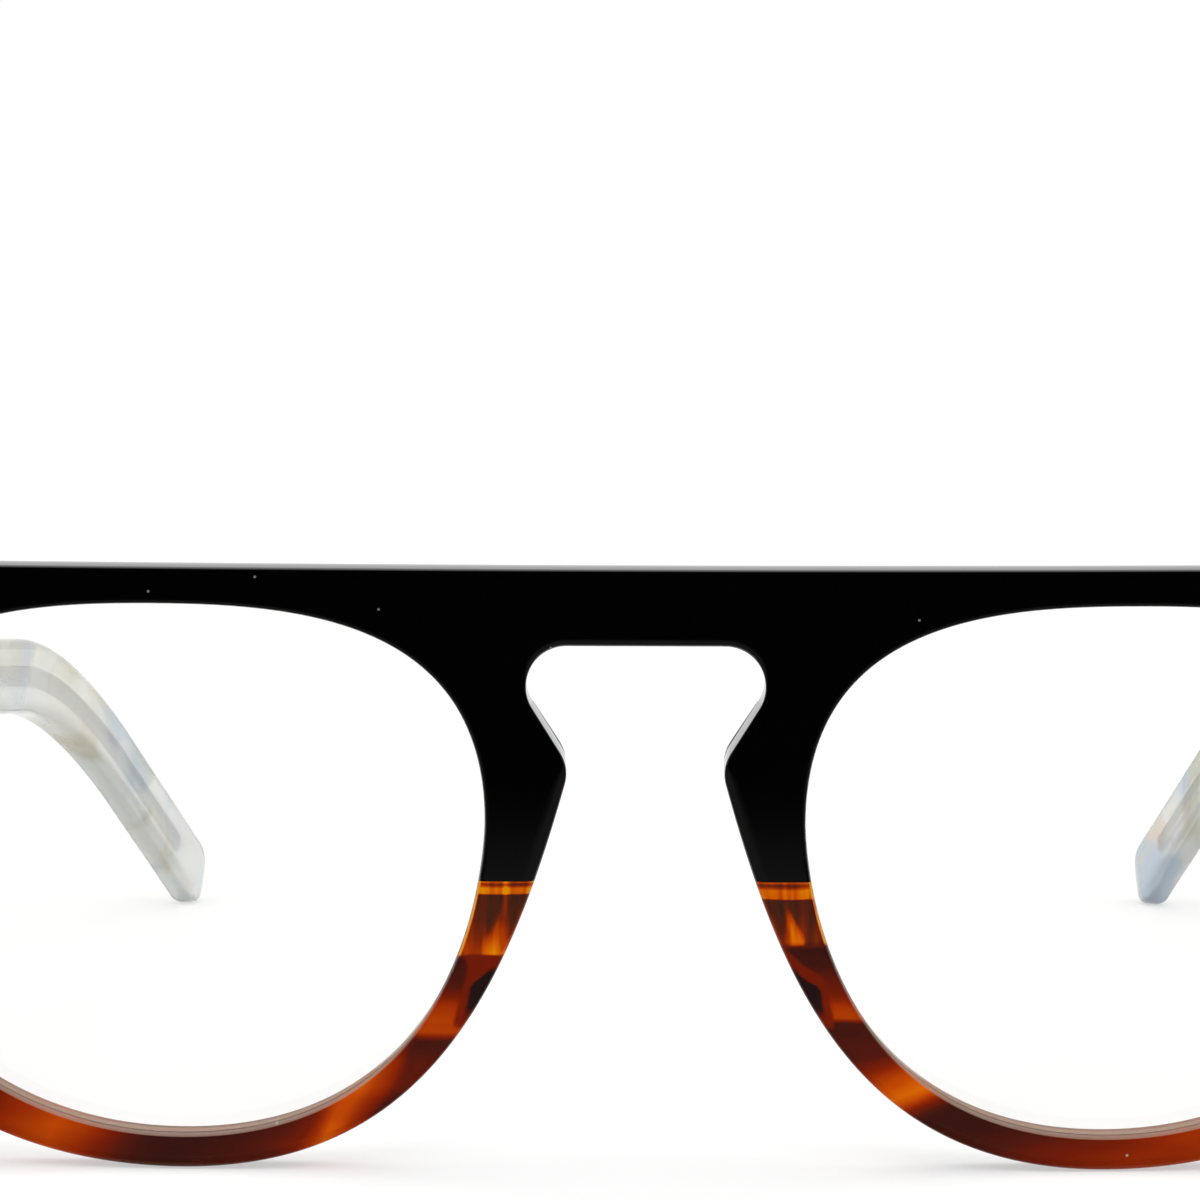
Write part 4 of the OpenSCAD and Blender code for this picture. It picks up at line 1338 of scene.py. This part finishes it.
def floor_paper():
    """White paper. Seen directly or mirrored it glows a little, more so far from the lamps."""
    material, nodes = material_nodes(
        "floor_paper", Roughness=0.9, Specular_IOR_Level=0.0, Emission_Color=WHITE,
    )
    seen = nodes.seen()
    away = nodes.add("ShaderNodeVectorMath", {0: nodes.place}, operation="LENGTH").outputs["Value"]
    glow = nodes.between(away, *FLOOR_GLOW_CHANGE, FLOOR_GLOW, FAR_FLOOR_GLOW)
    nodes.set(Base_Color=nodes.mix(seen, PAPER, SEEN_PAPER), Emission_Strength=nodes.times(seen, glow))
    return material


def stage_sheet(name, corners, material):
    """A flat sheet of the studio, through four corners."""
    sheet = mesh_object(name, corners, [(0, 1, 2, 3)], smooth=False)
    dress(sheet, [material])
    return sheet


def level_corners(side, near, far, level):
    return [(-side, far, level), (side, far, level), (side, near, level), (-side, near, level)]


def upright_corners(first, last, height):
    """The corners of an upright sheet that stands on the table from one point to another."""
    return [(*first, 0), (*last, 0), (*last, height), (*first, height)]


def dark_card(name, corners, brightness=0.0):
    """A dark card that only mirrors can see, as in a studio. Its near end is a little brighter."""
    material, nodes = material_nodes(
        name, Base_Color=(0, 0, 0), Roughness=1.0, Specular_IOR_Level=0.0, Emission_Color=WHITE,
    )
    _, back, _ = nodes.parts(nodes.place)
    nodes.set(Emission_Strength=nodes.between(back, *CARD_FADE, 0.0, brightness))
    card = stage_sheet(name, corners, material)
    for ray in ("camera", "diffuse", "transmission", "shadow", "volume_scatter"):
        setattr(card, "visible_" + ray, False)


CARD_LEVEL = 0.0003
CARD_BRIGHTNESS = 0.18
CARD_FADE = (-0.18, -0.13)
CARD_NEAR = -0.0695
CARD_FAR = -0.95
CARD_SIDE = 0.45
CARD_HEIGHT = 0.35
SIDE_CARD_NEAR = -0.3
BACK_CARD_SIDE = 0.6
BACK_CARD_HEIGHT = 0.9
stage_sheet("floor", level_corners(FLOOR_SIZE, FLOOR_SIZE, -FLOOR_SIZE, FLOOR_LEVEL), floor_paper())
floor_card = level_corners(CARD_SIDE, CARD_NEAR, CARD_FAR, CARD_LEVEL)
dark_card("dark_card_on_floor", floor_card, CARD_BRIGHTNESS)
for side_name, side in SIDES.items():
    x = side * CARD_SIDE
    corners = upright_corners((x, CARD_FAR), (x, SIDE_CARD_NEAR), CARD_HEIGHT)
    dark_card("dark_card_" + side_name, corners)
x = BACK_CARD_SIDE
dark_card("dark_card_behind_camera", upright_corners((-x, CARD_FAR), (x, CARD_FAR), BACK_CARD_HEIGHT))

# Each lamp's place, size and power. All of them point at the middle of the object, and only the one
# in front isn't mirrored.
LAMPS = {
    "soft_top": ((0.0, 0.25, 1.3), (1.6, 1.2), 8.6),
    "soft_front": ((0.0, -0.8, 0.75), (1.2, 0.6), 4.5),
    "soft_left": ((-1.2, -0.2, 0.8), (0.9, 0.9), 3.4),
    "soft_right": ((1.2, -0.1, 0.8), (0.9, 0.9), 3.4),
}
LAMP_AIM = (0, 0, 0.02)


def area_light(name, place, size, power):
    data = bpy.data.lights.new(name, "AREA")
    data.shape = "RECTANGLE"
    data.size, data.size_y = size
    data.energy = power
    lamp = bpy.data.objects.new(name, data)
    lamp.location = place
    lamp.rotation_euler = (Vector(LAMP_AIM) - Vector(place)).to_track_quat("-Z", "Y").to_euler()
    lamp.visible_glossy = name != "soft_front"
    bpy.context.scene.collection.objects.link(lamp)


for lamp_name, (place, size, power) in LAMPS.items():
    area_light(lamp_name, place, size, power)


def build_world():
    """An even pale light. The background itself is plain white."""
    world = bpy.data.worlds.new("studio")
    bpy.context.scene.world = world
    nodes = Nodes(world, "Background", Color=WHITE)
    nodes.set(Strength=nodes.between(nodes.seen(), 0.0, 1.0, WORLD_LIGHT, 1.0, kind="LINEAR"))


build_world()

# The camera looks straight on and a little down. Its distance, in millimetres, is from the front's foot.
CAMERA_DISTANCE = 353
CAMERA_PLACE = Vector((-3.29, -CAMERA_DISTANCE - ORIGIN_Y, 69.58))
CAMERA_DOWN = math.radians(4.544)
CAMERA_ROLL = math.radians(0.188)
CAMERA_LENS = 148.16


def build_camera():
    data = bpy.data.cameras.new("camera")
    data.lens = CAMERA_LENS
    data.sensor_width = 36
    data.clip_start = 0.01
    camera = bpy.data.objects.new("camera", data)
    tilt = Matrix.Rotation(math.pi / 2 - CAMERA_DOWN, 4, "X")
    roll = Matrix.Rotation(CAMERA_ROLL, 4, "Z")
    camera.matrix_world = Matrix.Translation(CAMERA_PLACE * MM) @ tilt @ roll
    bpy.context.scene.collection.objects.link(camera)
    bpy.context.scene.camera = camera


build_camera()
bpy.context.scene.view_settings.view_transform = "Standard"
